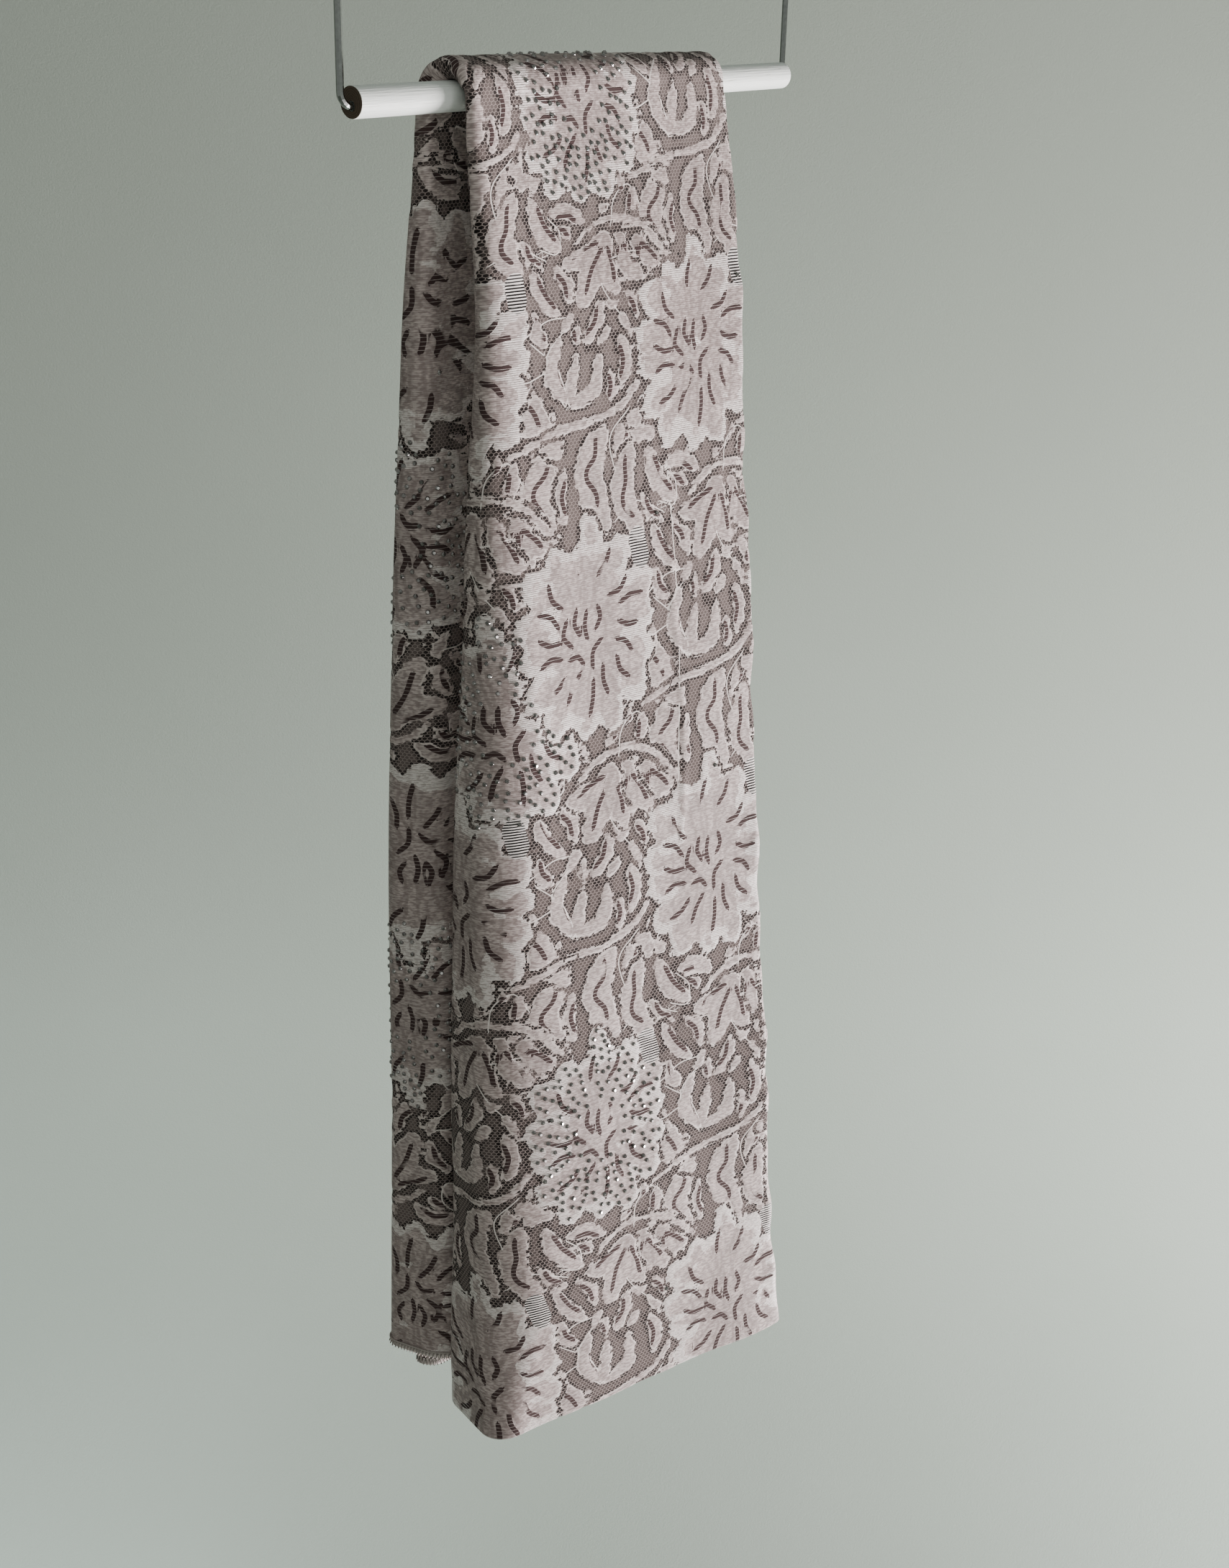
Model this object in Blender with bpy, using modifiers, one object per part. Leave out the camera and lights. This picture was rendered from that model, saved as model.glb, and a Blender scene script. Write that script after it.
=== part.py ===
"""A lace shawl hijab, folded lengthwise in four and endwise in half, hung over a slim round rod.

The rod is carried by a bent wire frame with a hook, and the hook's inner top is the origin.
+X runs along the rod, +Y points away from the wearer's side that is seen, +Z is up; metres.
"""
import math

import bmesh
import bpy
import numpy as np
from mathutils import Matrix, Vector

COLLECTION = "hijab_on_hanger_rod"
CUTTERS = "cutters"
GAP = 0.0003
MM = 0.001

# Plain finishes: colour, roughness and metal share
PAINT = ((0.80, 0.82, 0.79), 0.5, 0.0)
BRIGHT_STEEL = ((0.60, 0.60, 0.60), 0.2, 1.0)
MAUVE_LACE = ((0.46, 0.41, 0.40), 0.75, 0.0)

# Rod: slim, painted, hung a little higher at its right end
ROD_DIAMETER = 0.010
ROD_LENGTH = 0.242
ROD_TILT = math.radians(5.4)
ROD_EDGE = 0.0003
ROD_EDGE_STEPS = 2
SHARP_EDGE = math.radians(40)
ROD_SIDES = 32
HOLE_DIAMETER = 0.0032
HOLE_DEPTH = 0.009
HOLE_BELOW_AXIS = 0.0011
HOLE_SIDES = 16

# Wire frame and hook, both of one wire size
WIRE_DIAMETER = 0.0025
WIRE_IN_HOLE = 0.007
FRAME_ABOVE_ROD = 0.075
LEG_OFF_ROD_END = 0.0046
LEFT_LEG_LEAN = 0.0018
RIGHT_LEG_OFF_ROD_END = 0.0036
RIGHT_LEG_BACK = 0.0022
LEFT_BEND = 0.004
RIGHT_BEND = 0.0022
MOUTH_BEND = 0.002
MOUTH_STEP = 0.00055
SHOULDER_BEND = 0.012
BEND_STEPS = 6
HOOK_INNER_RADIUS = 0.016
HOOK_TIP = math.radians(200)
HOOK_TURN_END = math.radians(-50)
HOOK_STEPS = 20
STEM_LENGTH = 0.015
EYE_TURN = math.radians(335)
EYE_STEPS = 16
STEM_SWAY_STEPS = 5

# Cloth: one wall stands for two plies of lace, the shawl being doubled end to end
WALL = 0.001
PANEL_WIDTH = 0.147
PANEL_LEFT = -0.0805
LEGS = 4
FREE_EDGE_INSET = (0.0030, 0.0015)
LEG_STEPS = 6
FACE_STEPS = 8
FOLD_STEPS = 5
CORNER_STEPS = 4
SIDE_STEPS = 2
CROWN_STEPS = 12
HANG_STEPS = 14
STATION_CROWDING = 1.5
INNER_FOLD_SLACK = 0.10
INNER_FOLD_CLEAR = 1.5 * WALL + GAP
LEVELLING = 3

# Rows of the two hangs, in millimetres and degrees: drop below the rod, twist of the panel,
# place of its outer left edge, width, stack depth at the left and right, size of the soft
# rounding of the face into the left fold, and lean of the left side
COLUMNS = ("drop", "twist", "left_x", "left_y", "width", "depth_left", "depth_right",
           "round_across", "round_inward", "lean")
SIZE_COLUMNS = COLUMNS[4:9]
CROWN_DEPTHS = (0.0072, 0.0049)
CROWN_ROUND = (0.006, 0.0032)
CROWN_LEAN_IN_FRONT = 0.9
FRONT = (
    (0, -0.9, -80.5, -12.5, 147.0, 7.2, 4.9, 6, 3.2, 0.9),
    (20, 0.0, -80.2, -13.8, 146.2, 8.6, 5.6, 8, 4.0, 0.78),
    (65, 3.6, -79.4, -18.0, 136.9, 13.0, 7.2, 16, 6.5, 0.44),
    (122, 6.0, -80.9, -20.4, 133.8, 18.5, 9.0, 18, 10, 0.06),
    (207, 9.0, -84.0, -22.4, 133.4, 27.0, 11.5, 20, 14, 0.0),
    (292, 12.0, -87.0, -23.5, 133.9, 34.5, 13.5, 28, 19, 0.0),
    (378, 14.4, -89.4, -24.0, 136.6, 39.5, 15.0, 32, 22, 0.0),
    (450, 15.2, -91.9, -24.6, 141.6, 41.5, 16.0, 25, 19, 0.0),
    (504, 15.6, -94.6, -25.2, 149.2, 41.5, 16.5, 11, 10, 0.0),
)
BACK = (
    (0, 0.9, -80.5, 12.5, 147.0, 7.2, 4.9, 6, 3.2, 0.0),
    (20, 1.6, -80.9, 15.4, 146.0, 8.6, 5.8, 6, 4, 0.0),
    (60, 2.6, -82.4, 20.9, 144.0, 12.4, 7.4, 7, 5, 0.12),
    (100, 4.2, -83.6, 25.0, 142.0, 15.4, 8.8, 8, 6, 0.22),
    (150, 6.0, -84.6, 30.2, 141.0, 19.0, 10.2, 9, 7, 0.32),
    (200, 7.4, -85.2, 33.6, 140.5, 20.6, 11.2, 9, 8, 0.38),
    (250, 8.8, -85.6, 36.8, 140.0, 22.0, 12.2, 9, 8, 0.42),
    (315, 10.4, -86.0, 40.2, 140.0, 24.0, 13.4, 9, 8, 0.46),
    (385, 11.8, -86.2, 44.0, 140.0, 26.0, 14.6, 9, 8, 0.5),
    (457, 12.8, -86.0, 47.2, 140.0, 28.4, 15.6, 9, 8, 0.5),
    (493, 13.2, -85.4, 49.2, 140.0, 29.6, 16.0, 8, 7, 0.5),
)
REAR_CORNER = 0.008
SIDE_SHARE = 0.12
INNER_HEM_LOWER = 0.008

STEM_TOP_SPREAD = math.cos(HOOK_TURN_END) / (1 - math.cos(HOOK_TURN_END))


def rod_z():
    """Height of the rod's middle under the hook's inner top."""
    return frame_z() - FRAME_ABOVE_ROD


def frame_z():
    """Height of the frame's cross wire, worked out from the hook above it."""
    radius = hook_radius()
    turn_end = -HOOK_INNER_RADIUS + radius * math.sin(HOOK_TURN_END)
    counter_bend = radius * STEM_TOP_SPREAD * math.sin(-HOOK_TURN_END)
    return turn_end - counter_bend - STEM_LENGTH


def hook_radius():
    """Radius of the hook's centreline."""
    return HOOK_INNER_RADIUS + WIRE_DIAMETER / 2


def rod_axes():
    """The rod's own directions: along it, and up at right angles to it."""
    along = Vector((math.cos(ROD_TILT), 0, math.sin(ROD_TILT)))
    up = Vector((-math.sin(ROD_TILT), 0, math.cos(ROD_TILT)))
    return along, up


def clear_scene():
    """Removes everything that a new file holds."""
    for old in list(bpy.data.objects):
        bpy.data.objects.remove(old, do_unlink=True)
    for old in list(bpy.data.collections):
        bpy.data.collections.remove(old)


def new_collection(name):
    """A collection in the scene."""
    made = bpy.data.collections.new(name)
    bpy.context.scene.collection.children.link(made)
    return made


def material(name, color, roughness, metallic):
    """A Principled material in the part's own colour."""
    made = bpy.data.materials.new(name)
    made.use_nodes = True
    shader = made.node_tree.nodes["Principled BSDF"]
    shader.inputs["Base Color"].default_value = (*color, 1.0)
    shader.inputs["Roughness"].default_value = roughness
    shader.inputs["Metallic"].default_value = metallic
    return made


def new_object(name, data, collection, finish=None):
    """An object in one collection, with its material."""
    made = bpy.data.objects.new(name, data)
    collection.objects.link(made)
    if finish is not None:
        data.materials.append(finish)
    return made


def cylinder_mesh(name, radius, length, sides):
    """A closed cylinder along +X, centred on its origin."""
    shape = bmesh.new()
    bmesh.ops.create_cone(
        shape, cap_ends=True, segments=sides, radius1=radius, radius2=radius, depth=length
    )
    bmesh.ops.rotate(shape, verts=shape.verts, matrix=Matrix.Rotation(math.pi / 2, 3, "Y"))
    mesh = bpy.data.meshes.new(name)
    shape.to_mesh(mesh)
    shape.free()
    return mesh


def make_rod(collection, cutters, finish):
    """The round rod, with a blind hole in each end for the wire."""
    rod_mesh = cylinder_mesh("rod", ROD_DIAMETER / 2, ROD_LENGTH, ROD_SIDES)
    rod = new_object("rod", rod_mesh, collection, finish)
    rod.location = (0, 0, rod_z())
    rod.rotation_euler = (0, -ROD_TILT, 0)
    rod.data.shade_smooth()
    rod.data.set_sharp_from_angle(angle=SHARP_EDGE)
    worn_edge = rod.modifiers.new("worn_edge", "BEVEL")
    worn_edge.width = ROD_EDGE
    worn_edge.segments = ROD_EDGE_STEPS
    worn_edge.limit_method = "ANGLE"
    for side, name in ((-1, "hole_left"), (1, "hole_right")):
        mesh = cylinder_mesh(name, HOLE_DIAMETER / 2, 2 * HOLE_DEPTH, HOLE_SIDES)
        hole = new_object(name, mesh, cutters)
        hole.parent = rod
        hole.location = (side * ROD_LENGTH / 2, 0, -HOLE_BELOW_AXIS)
        hole.hide_render = True
        hole.display_type = "WIRE"
        cut = rod.modifiers.new(name, "BOOLEAN")
        cut.operation = "DIFFERENCE"
        cut.object = hole
    return rod


def bent_path(corners, radii):
    """A line through corner points, each corner rounded to its own bend radius."""
    path = [corners[0]]
    for before, corner, after, radius in zip(corners, corners[1:], corners[2:], radii):
        arriving = (corner - before).normalized()
        leaving = (after - corner).normalized()
        turn = arriving.angle(leaving)
        tangent = radius * math.tan(turn / 2)
        start = corner - arriving * tangent
        inward = (leaving - arriving * arriving.dot(leaving)).normalized()
        for step in range(BEND_STEPS + 1):
            angle = turn * step / BEND_STEPS
            along = arriving * math.sin(angle) * radius
            path.append(start + along + inward * (1 - math.cos(angle)) * radius)
    path.append(corners[-1])
    return path


def wire(name, points, collection, finish):
    """A round wire with closed ends, as a mesh of one body."""
    curve = bpy.data.curves.new(name + "_line", "CURVE")
    curve.dimensions = "3D"
    curve.bevel_depth = WIRE_DIAMETER / 2
    curve.bevel_resolution = 2
    curve.use_fill_caps = True
    spline = curve.splines.new("POLY")
    spline.points.add(len(points) - 1)
    for target, point in zip(spline.points, points):
        target.co = (*point, 1)
    line = bpy.data.objects.new(name + "_line", curve)
    collection.objects.link(line)
    seen = line.evaluated_get(bpy.context.evaluated_depsgraph_get())
    mesh = bpy.data.meshes.new_from_object(seen)
    shape = bmesh.new()
    shape.from_mesh(mesh)
    bmesh.ops.remove_doubles(shape, verts=shape.verts, dist=GAP / 10)
    shape.to_mesh(mesh)
    shape.free()
    made = new_object(name, mesh, collection, finish)
    made.matrix_world = line.matrix_world
    made.data.shade_smooth()
    bpy.data.objects.remove(line, do_unlink=True)
    return made


def frame_corners():
    """Corner points of the wire frame, from inside the left hole to inside the right one."""
    along, up = rod_axes()
    centre = Vector((0, 0, rod_z())) - up * HOLE_BELOW_AXIS
    half = ROD_LENGTH / 2
    left_mouth = centre - along * half
    right_mouth = centre + along * half
    left_foot = left_mouth - along * LEG_OFF_ROD_END
    right_foot = right_mouth + along * RIGHT_LEG_OFF_ROD_END + Vector((0, RIGHT_LEG_BACK, 0))
    cross = frame_z()
    return [
        left_mouth + along * WIRE_IN_HOLE,
        left_foot,
        Vector((left_foot.x + LEFT_LEG_LEAN, 0, cross)),
        Vector((right_foot.x, 0, cross)),
        right_foot,
        right_mouth + along * MOUTH_STEP,
        right_mouth - along * WIRE_IN_HOLE,
    ]


def make_frame(collection, finish):
    """One bent wire: in-turned ends in the rod's holes, two legs and the cross run."""
    bends = (LEFT_BEND, SHOULDER_BEND, SHOULDER_BEND, RIGHT_BEND, MOUTH_BEND)
    return wire("wire_frame", bent_path(frame_corners(), bends), collection, finish)


def hook_points():
    """The hook's line, from its tip over the top, down the stem and round the cross wire."""
    radius = hook_radius()
    centre_z = -HOOK_INNER_RADIUS
    points = []
    for step in range(HOOK_STEPS + 1):
        angle = HOOK_TIP + (HOOK_TURN_END - HOOK_TIP) * step / HOOK_STEPS
        points.append(Vector((radius * math.cos(angle), 0, centre_z + radius * math.sin(angle))))
    counter = radius * STEM_TOP_SPREAD
    turn_end = points[-1]
    for step in range(1, BEND_STEPS + 1):
        angle = -HOOK_TURN_END * (1 - step / BEND_STEPS)
        drop = counter * (math.sin(-HOOK_TURN_END) - math.sin(angle))
        points.append(Vector((counter * (1 - math.cos(angle)), 0, turn_end.z - drop)))
    eye_radius = WIRE_DIAMETER + GAP
    cross = frame_z()
    stem_top = points[-1].z
    for step in range(1, STEM_SWAY_STEPS + 1):
        share = step / (STEM_SWAY_STEPS + 1)
        sway = eye_radius * share * share * (3 - 2 * share)
        points.append(Vector((0, -sway, stem_top + (cross - stem_top) * share)))
    for step in range(EYE_STEPS + 1):
        angle = EYE_TURN * step / EYE_STEPS
        advance = eye_radius * angle / (2 * math.pi)
        offset = Vector((advance, -eye_radius * math.cos(angle), -eye_radius * math.sin(angle)))
        points.append(Vector((0, 0, cross)) + offset)
    return points


def make_hook(collection, finish):
    """The hook, its lower end wound once round the cross wire."""
    return wire("hook", hook_points(), collection, finish)


def half_turn(across, first, last, side):
    """A round fold from one level to the next, bulging left (-1) or right (1)."""
    middle = (first + last) / 2
    reach = (first - last) / 2
    turns = [math.pi * step / FOLD_STEPS for step in range(FOLD_STEPS + 1)]
    return [(across + side * abs(reach) * math.sin(t), middle + reach * math.cos(t))
            for t in turns]


def quarter(across, inward, reach_across, reach_inward, side):
    """A quarter of an ellipse at the left edge: from the face (-1), or on to the rear (1)."""
    points = []
    for step in range(CORNER_STEPS + 1):
        turn = math.pi / 2 * step / CORNER_STEPS
        if side < 0:
            turn = math.pi / 2 - turn
        points.append((across - reach_across * math.cos(turn),
                       inward + side * reach_inward * math.sin(turn)))
    return points


def straight(first, last, steps):
    """Inner points of a straight run, without its two ends."""
    shares = np.linspace(0, 1, steps + 1)[1:-1]
    return [(first[0] + (last[0] - first[0]) * s, first[1] + (last[1] - first[1]) * s)
            for s in shares]


def fold_section(width, depth_left, depth_right, round_across, round_inward, lean):
    """Middle line of the folded cloth across its width, as (across, inward, inner) rows.

    The line starts at the inner free edge, runs left to the inner fold, right to the closed
    fold, left along the face, round the outer left fold and right to the outer free edge.
    The last column is 1 on the inner layer and 0 on the outer one.
    """
    def level(across, leg):
        depth = depth_left + (depth_right - depth_left) * across / width
        return WALL / 2 + (depth - WALL) * leg / (LEGS - 1)

    slack = INNER_FOLD_SLACK * max(0.0, depth_left - CROWN_DEPTHS[0])
    inner_x = (depth_left - WALL) / (LEGS - 1) / 2 + INNER_FOLD_CLEAR + slack
    inner_fold = half_turn(inner_x, level(inner_x, 2), level(inner_x, 1), -1)
    closed_x = width - WALL / 2 - (level(width, 1) - level(width, 0)) / 2
    closed_fold = half_turn(closed_x, level(closed_x, 1), level(closed_x, 0), 1)
    free_inner = (width - FREE_EDGE_INSET[0], level(width - FREE_EDGE_INSET[0], 2))
    free_outer = (width - FREE_EDGE_INSET[1], level(width - FREE_EDGE_INSET[1], 3))

    front = WALL / 2
    rear = level(REAR_CORNER, 3)
    ahead = min(round_inward, (1 - SIDE_SHARE) * (rear - front) / 2)
    behind = min(REAR_CORNER, (1 - SIDE_SHARE) * (rear - front) - ahead)
    edge = WALL / 2
    face_round = quarter(edge + round_across, front + ahead, round_across, ahead, -1)
    rear_round = quarter(edge + behind, rear - behind, behind, behind, 1)

    line = [free_inner] + straight(free_inner, inner_fold[0], LEG_STEPS) + inner_fold
    line += straight(inner_fold[-1], closed_fold[0], LEG_STEPS)
    inner_count = len(line)
    line += closed_fold + straight(closed_fold[-1], face_round[0], FACE_STEPS)
    line += face_round + straight(face_round[-1], rear_round[0], SIDE_STEPS) + rear_round
    line += straight(rear_round[-1], free_outer, LEG_STEPS) + [free_outer]
    rows = []
    for index, (across, inward) in enumerate(line):
        shear = lean * inward * max(0.0, 1 - across / width)
        rows.append((across + shear, inward, 1.0 if index < inner_count else 0.0))
    return rows


def smooth_rows(table, steps):
    """The table's rows read off along smooth curves, closer together near the rod."""
    rows = np.array(table, float)
    keys = rows[:, 0]
    slopes = np.gradient(rows, keys, axis=0)
    out = []
    for key in keys[-1] * np.linspace(0, 1, steps + 1) ** STATION_CROWDING:
        at = min(max(int(np.searchsorted(keys, key, side="right")) - 1, 0), len(keys) - 2)
        span = keys[at + 1] - keys[at]
        t = (key - keys[at]) / span
        start, end = rows[at], rows[at + 1]
        blend = start * (1 + 2 * t) * (1 - t) ** 2 + end * t * t * (3 - 2 * t)
        blend = blend + span * (slopes[at] * t * (1 - t) ** 2 - slopes[at + 1] * t * t * (1 - t))
        out.append(dict(zip(COLUMNS, blend)))
    return out


def hang_rows(table, side):
    """Rows of points down one hang; side is -1 for the front and 1 for the back."""
    top = rod_z() + PANEL_LEFT * math.tan(ROD_TILT) - GAP
    rows = []
    for at in smooth_rows(table, HANG_STEPS):
        share = at["drop"] / table[-1][0]
        twist = math.radians(at["twist"])
        tilt = ROD_TILT * (1 - share) ** LEVELLING
        across = Vector((math.cos(tilt) * math.cos(twist), -math.cos(tilt) * math.sin(twist),
                         math.sin(tilt)))
        inward = Vector((-side * math.sin(twist), -side * math.cos(twist), 0))
        left = Vector((at["left_x"] * MM, at["left_y"] * MM, top - at["drop"] * MM))
        section = fold_section(*(at[name] * MM for name in SIZE_COLUMNS), at["lean"])
        hem = INNER_HEM_LOWER * share if side > 0 else 0.0
        rows.append([left + across * u + inward * v - Vector((0, 0, hem * inner))
                     for u, v, inner in section])
    return rows


def crown_rows():
    """Rows of points over the rod, from its front round to its back."""
    along, up = rod_axes()
    rows = []
    clear = ROD_DIAMETER / 2 + GAP
    for step in range(CROWN_STEPS + 1):
        angle = math.pi * step / CROWN_STEPS
        lean = CROWN_LEAN_IN_FRONT * (1 - step / CROWN_STEPS)
        section = fold_section(PANEL_WIDTH, *CROWN_DEPTHS, *CROWN_ROUND, lean)
        out = Vector((0, -math.cos(angle), 0)) + up * math.sin(angle)
        foot = Vector((0, 0, rod_z())) + along * (PANEL_LEFT / along.x)
        left = foot + out * (clear + CROWN_DEPTHS[0])
        right = foot + along * PANEL_WIDTH + out * (clear + CROWN_DEPTHS[1])
        across = (right - left).normalized()
        rows.append([left + across * u - out * v for u, v, _ in section])
    return rows


def cloth(name, rows, collection, finish):
    """A wall of cloth through rows of points, half its thickness to each side."""
    across = len(rows[0])
    points = [tuple(point) for row in rows for point in row]
    faces = []
    for row in range(len(rows) - 1):
        for column in range(across - 1):
            first = row * across + column
            faces.append((first, first + 1, first + across + 1, first + across))
    mesh = bpy.data.meshes.new(name)
    mesh.from_pydata(points, [], faces)
    mesh.validate()
    made = new_object(name, mesh, collection, finish)
    made.data.shade_smooth()
    wall = made.modifiers.new("wall", "SOLIDIFY")
    wall.thickness = WALL
    wall.offset = 0
    wall.use_even_offset = True
    return made


def build():
    """The whole part: rod, wire frame, hook and the cloth's three stretches."""
    clear_scene()
    parts = new_collection(COLLECTION)
    cutters = new_collection(CUTTERS)
    paint = material("painted_wood", *PAINT)
    steel = material("bright_wire", *BRIGHT_STEEL)
    lace = material("mauve_lace", *MAUVE_LACE)
    make_rod(parts, cutters, paint)
    make_frame(parts, steel)
    make_hook(parts, steel)
    cloth("front_hang", hang_rows(FRONT, -1), parts, lace)
    cloth("over_rod", crown_rows(), parts, lace)
    cloth("back_hang", hang_rows(BACK, 1), parts, lace)


build()
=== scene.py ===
"""The looks of a lace shawl hijab, folded and hung over a slim painted rod in a wire frame.

Cloth sizes are in millimetres, as the part's own tables have them; Blender objects are in metres.
Places on the lace are (across, down): across from the closed fold at the panel's right edge,
down along the cloth from the line that lies on top of the rod, positive on the front hang.
"""
import math

import bpy
import numpy as np
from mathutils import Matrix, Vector


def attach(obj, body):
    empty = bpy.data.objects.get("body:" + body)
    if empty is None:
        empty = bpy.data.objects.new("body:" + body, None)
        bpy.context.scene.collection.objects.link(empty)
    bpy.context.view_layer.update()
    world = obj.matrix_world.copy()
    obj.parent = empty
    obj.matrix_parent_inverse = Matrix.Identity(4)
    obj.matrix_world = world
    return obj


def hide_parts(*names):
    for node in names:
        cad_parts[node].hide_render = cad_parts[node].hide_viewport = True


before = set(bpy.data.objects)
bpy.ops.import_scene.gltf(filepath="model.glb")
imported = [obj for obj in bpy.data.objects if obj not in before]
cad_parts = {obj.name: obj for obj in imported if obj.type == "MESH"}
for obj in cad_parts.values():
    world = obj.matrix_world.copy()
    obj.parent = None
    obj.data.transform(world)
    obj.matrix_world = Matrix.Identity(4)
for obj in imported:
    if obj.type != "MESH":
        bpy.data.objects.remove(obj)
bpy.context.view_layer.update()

MM = 0.001


def rgb(red, green, blue):
    """A colour read as it looks on a screen, from 0 to 255, in the renderer's own numbers."""
    return tuple(((c / 255 + 0.055) / 1.055) ** 2.4 for c in (red, green, blue))


# The camera stands where the photograph was taken from
CAMERA_PLACE = (-0.5381, -0.4426, -0.1940)
CAMERA_TURN = (math.radians(73.0), 0.0, math.radians(-51.16))
CAMERA_LENS = 41.28
SENSOR_LONG_SIDE = 36.0

# The rod's own sizes, as the part's source has them
ROD_DIAMETER = 10.0
ROD_LENGTH = 242.0
ROD_TILT = math.radians(5.4)
ROD_BELOW_HOOK = 142.96

# The rod's bare end grain: how far it reaches along, and its rings, in radians a metre
BARE_END = 0.22
BARE_SOFT = 0.12
GRAIN_RINGS = 9000.0
RING_WOBBLE = 2.0

# The folded cloth, as the part's source has it: one wall stands for two plies
WALL = 1.0
GAP = 0.3
PANEL_WIDTH = 147.0
PANEL_LEFT = -80.5
LEGS = 4
FREE_EDGE_INSET = (3.0, 1.5)
INNER_FOLD_SLACK = 0.10
REAR_CORNER = 8.0
SIDE_SHARE = 0.12
INNER_HEM_LOWER = 8.0
CROWN = dict(width=PANEL_WIDTH, depth_left=7.2, depth_right=4.9,
             round_across=6.0, round_inward=3.2)
CROWN_LEAN_IN_FRONT = 0.9
COLUMNS = ("drop", "twist", "left_x", "left_y", "width", "depth_left", "depth_right",
           "round_across", "round_inward", "lean")
FRONT = (
    (0, -0.9, -80.5, -12.5, 147.0, 7.2, 4.9, 6, 3.2, 0.9),
    (20, 0.0, -80.2, -13.8, 146.2, 8.6, 5.6, 8, 4.0, 0.78),
    (65, 3.6, -79.4, -18.0, 136.9, 13.0, 7.2, 16, 6.5, 0.44),
    (122, 6.0, -80.9, -20.4, 133.8, 18.5, 9.0, 18, 10, 0.06),
    (207, 9.0, -84.0, -22.4, 133.4, 27.0, 11.5, 20, 14, 0.0),
    (292, 12.0, -87.0, -23.5, 133.9, 34.5, 13.5, 28, 19, 0.0),
    (378, 14.4, -89.4, -24.0, 136.6, 39.5, 15.0, 32, 22, 0.0),
    (450, 15.2, -91.9, -24.6, 141.6, 41.5, 16.0, 25, 19, 0.0),
    (504, 15.6, -94.6, -25.2, 149.2, 41.5, 16.5, 11, 10, 0.0),
)
BACK = (
    (0, 0.9, -80.5, 12.5, 147.0, 7.2, 4.9, 6, 3.2, 0.0),
    (20, 1.6, -80.9, 15.4, 146.0, 8.6, 5.8, 6, 4, 0.0),
    (60, 2.6, -82.4, 20.9, 144.0, 12.4, 7.4, 7, 5, 0.12),
    (100, 4.2, -83.6, 25.0, 142.0, 15.4, 8.8, 8, 6, 0.22),
    (150, 6.0, -84.6, 30.2, 141.0, 19.0, 10.2, 9, 7, 0.32),
    (200, 7.4, -85.2, 33.6, 140.5, 20.6, 11.2, 9, 8, 0.38),
    (250, 8.8, -85.6, 36.8, 140.0, 22.0, 12.2, 9, 8, 0.42),
    (315, 10.4, -86.0, 40.2, 140.0, 24.0, 13.4, 9, 8, 0.46),
    (385, 11.8, -86.2, 44.0, 140.0, 26.0, 14.6, 9, 8, 0.5),
    (457, 12.8, -86.0, 47.2, 140.0, 28.4, 15.6, 9, 8, 0.5),
    (493, 13.2, -85.4, 49.2, 140.0, 29.6, 16.0, 8, 7, 0.5),
)

# Each stretch of cloth: its name here, its flat size in metres and what it rests on
SHEETS = {
    "front_hang": ("shawl_front", (0.60, 0.52), "over_rod"),
    "over_rod": ("shawl_top", (0.585, 0.033), "rod"),
    "back_hang": ("shawl_back", (0.59, 0.50), "over_rod"),
}

# Grid of the cloth's shells: cells across each stretch of the section, and down
CELL = 1.16
FINE = dict(leg=9, fold=6, face=100, face_round=28, side=14, rear_round=8, rear_leg=26)
CROWN_CELLS = 32
BOTTOM_CURL_STEPS = 4
BOTTOM_CURL_RISE = 8.0

# The cloth's form off the rod: soft waves, a waved closed fold and one long crease
RELIEF = 0.3
SWAY = 0.7
SWAY_FREE = 20.0
SWAY_GROWS = 60.0
EDGE_WAVE = 0.8
EDGE_REACH = 5.0
CREASE_ACROSS = 44.0
CREASE_DOWN = (150.0, 300.0)
CREASE_ENDS = 30.0
CREASE_HALF = 1.6
CREASE_DEPTH = 0.6

# The lace's repeat: the flowers stand on a half-drop lattice, and the one at the rod is lowered
REPEAT_ACROSS = 120.0
REPEAT_DOWN = 197.0
FIRST_FLOWER = (89.0, 203.0)
REPEAT_REACH = 60.0
REPEAT_TAIL = 170.0
REPEATS_TRIED = 20
TOP_SHIFT = 14.0
TOP_SHIFT_AT = 20.0
TOP_SHIFT_REACH = 60.0
UNDER_SHIFT = (37.0, 55.0)

# The big flower's petals: angle, reach and half width; its petals' slits: angle, near, far, bend
PETALS = ((0, 43, 6.2), (31, 37.5, 8.0), (58, 36.5, 8.8), (84, 33, 8.2), (108, 33.5, 8.4),
          (134, 37, 8.8), (159, 39, 8.2), (-176, 38, 7.4), (-152, 39.5, 8.4), (-126, 37, 8.8),
          (-102, 33, 8.4), (-78, 34.5, 8.8), (-53, 38.5, 8.8), (-28, 36, 7.6))
PETAL_SLITS = ((14, 22, 32, .1), (-10, 24, 33, -.06), (40, 17, 27, .18), (60, 19, 30, -.1),
               (82, 16, 25, .12), (106, 15, 24, -.15), (128, 18, 28, .15), (152, 15, 26, .1),
               (173, 18, 31, -.05), (-162, 15, 27, .06), (-140, 19, 30, -.1), (-116, 16, 26, .15),
               (-94, 15, 25, -.12), (-72, 16, 27, .15), (-50, 18, 29, -.15))

# Flowers outside the even repeat, and the flowers with stones: across, down, turn in degrees
EXTRA_FLOWERS = ((127.0, 232.0, -12.0), (139.0, -168.0, 8.0), (147.0, -353.0, -6.0))
STONE_FLOWERS = ((89.0, 6.0, 0.0), (89.0, 400.0, 0.0)) + EXTRA_FLOWERS

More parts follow.
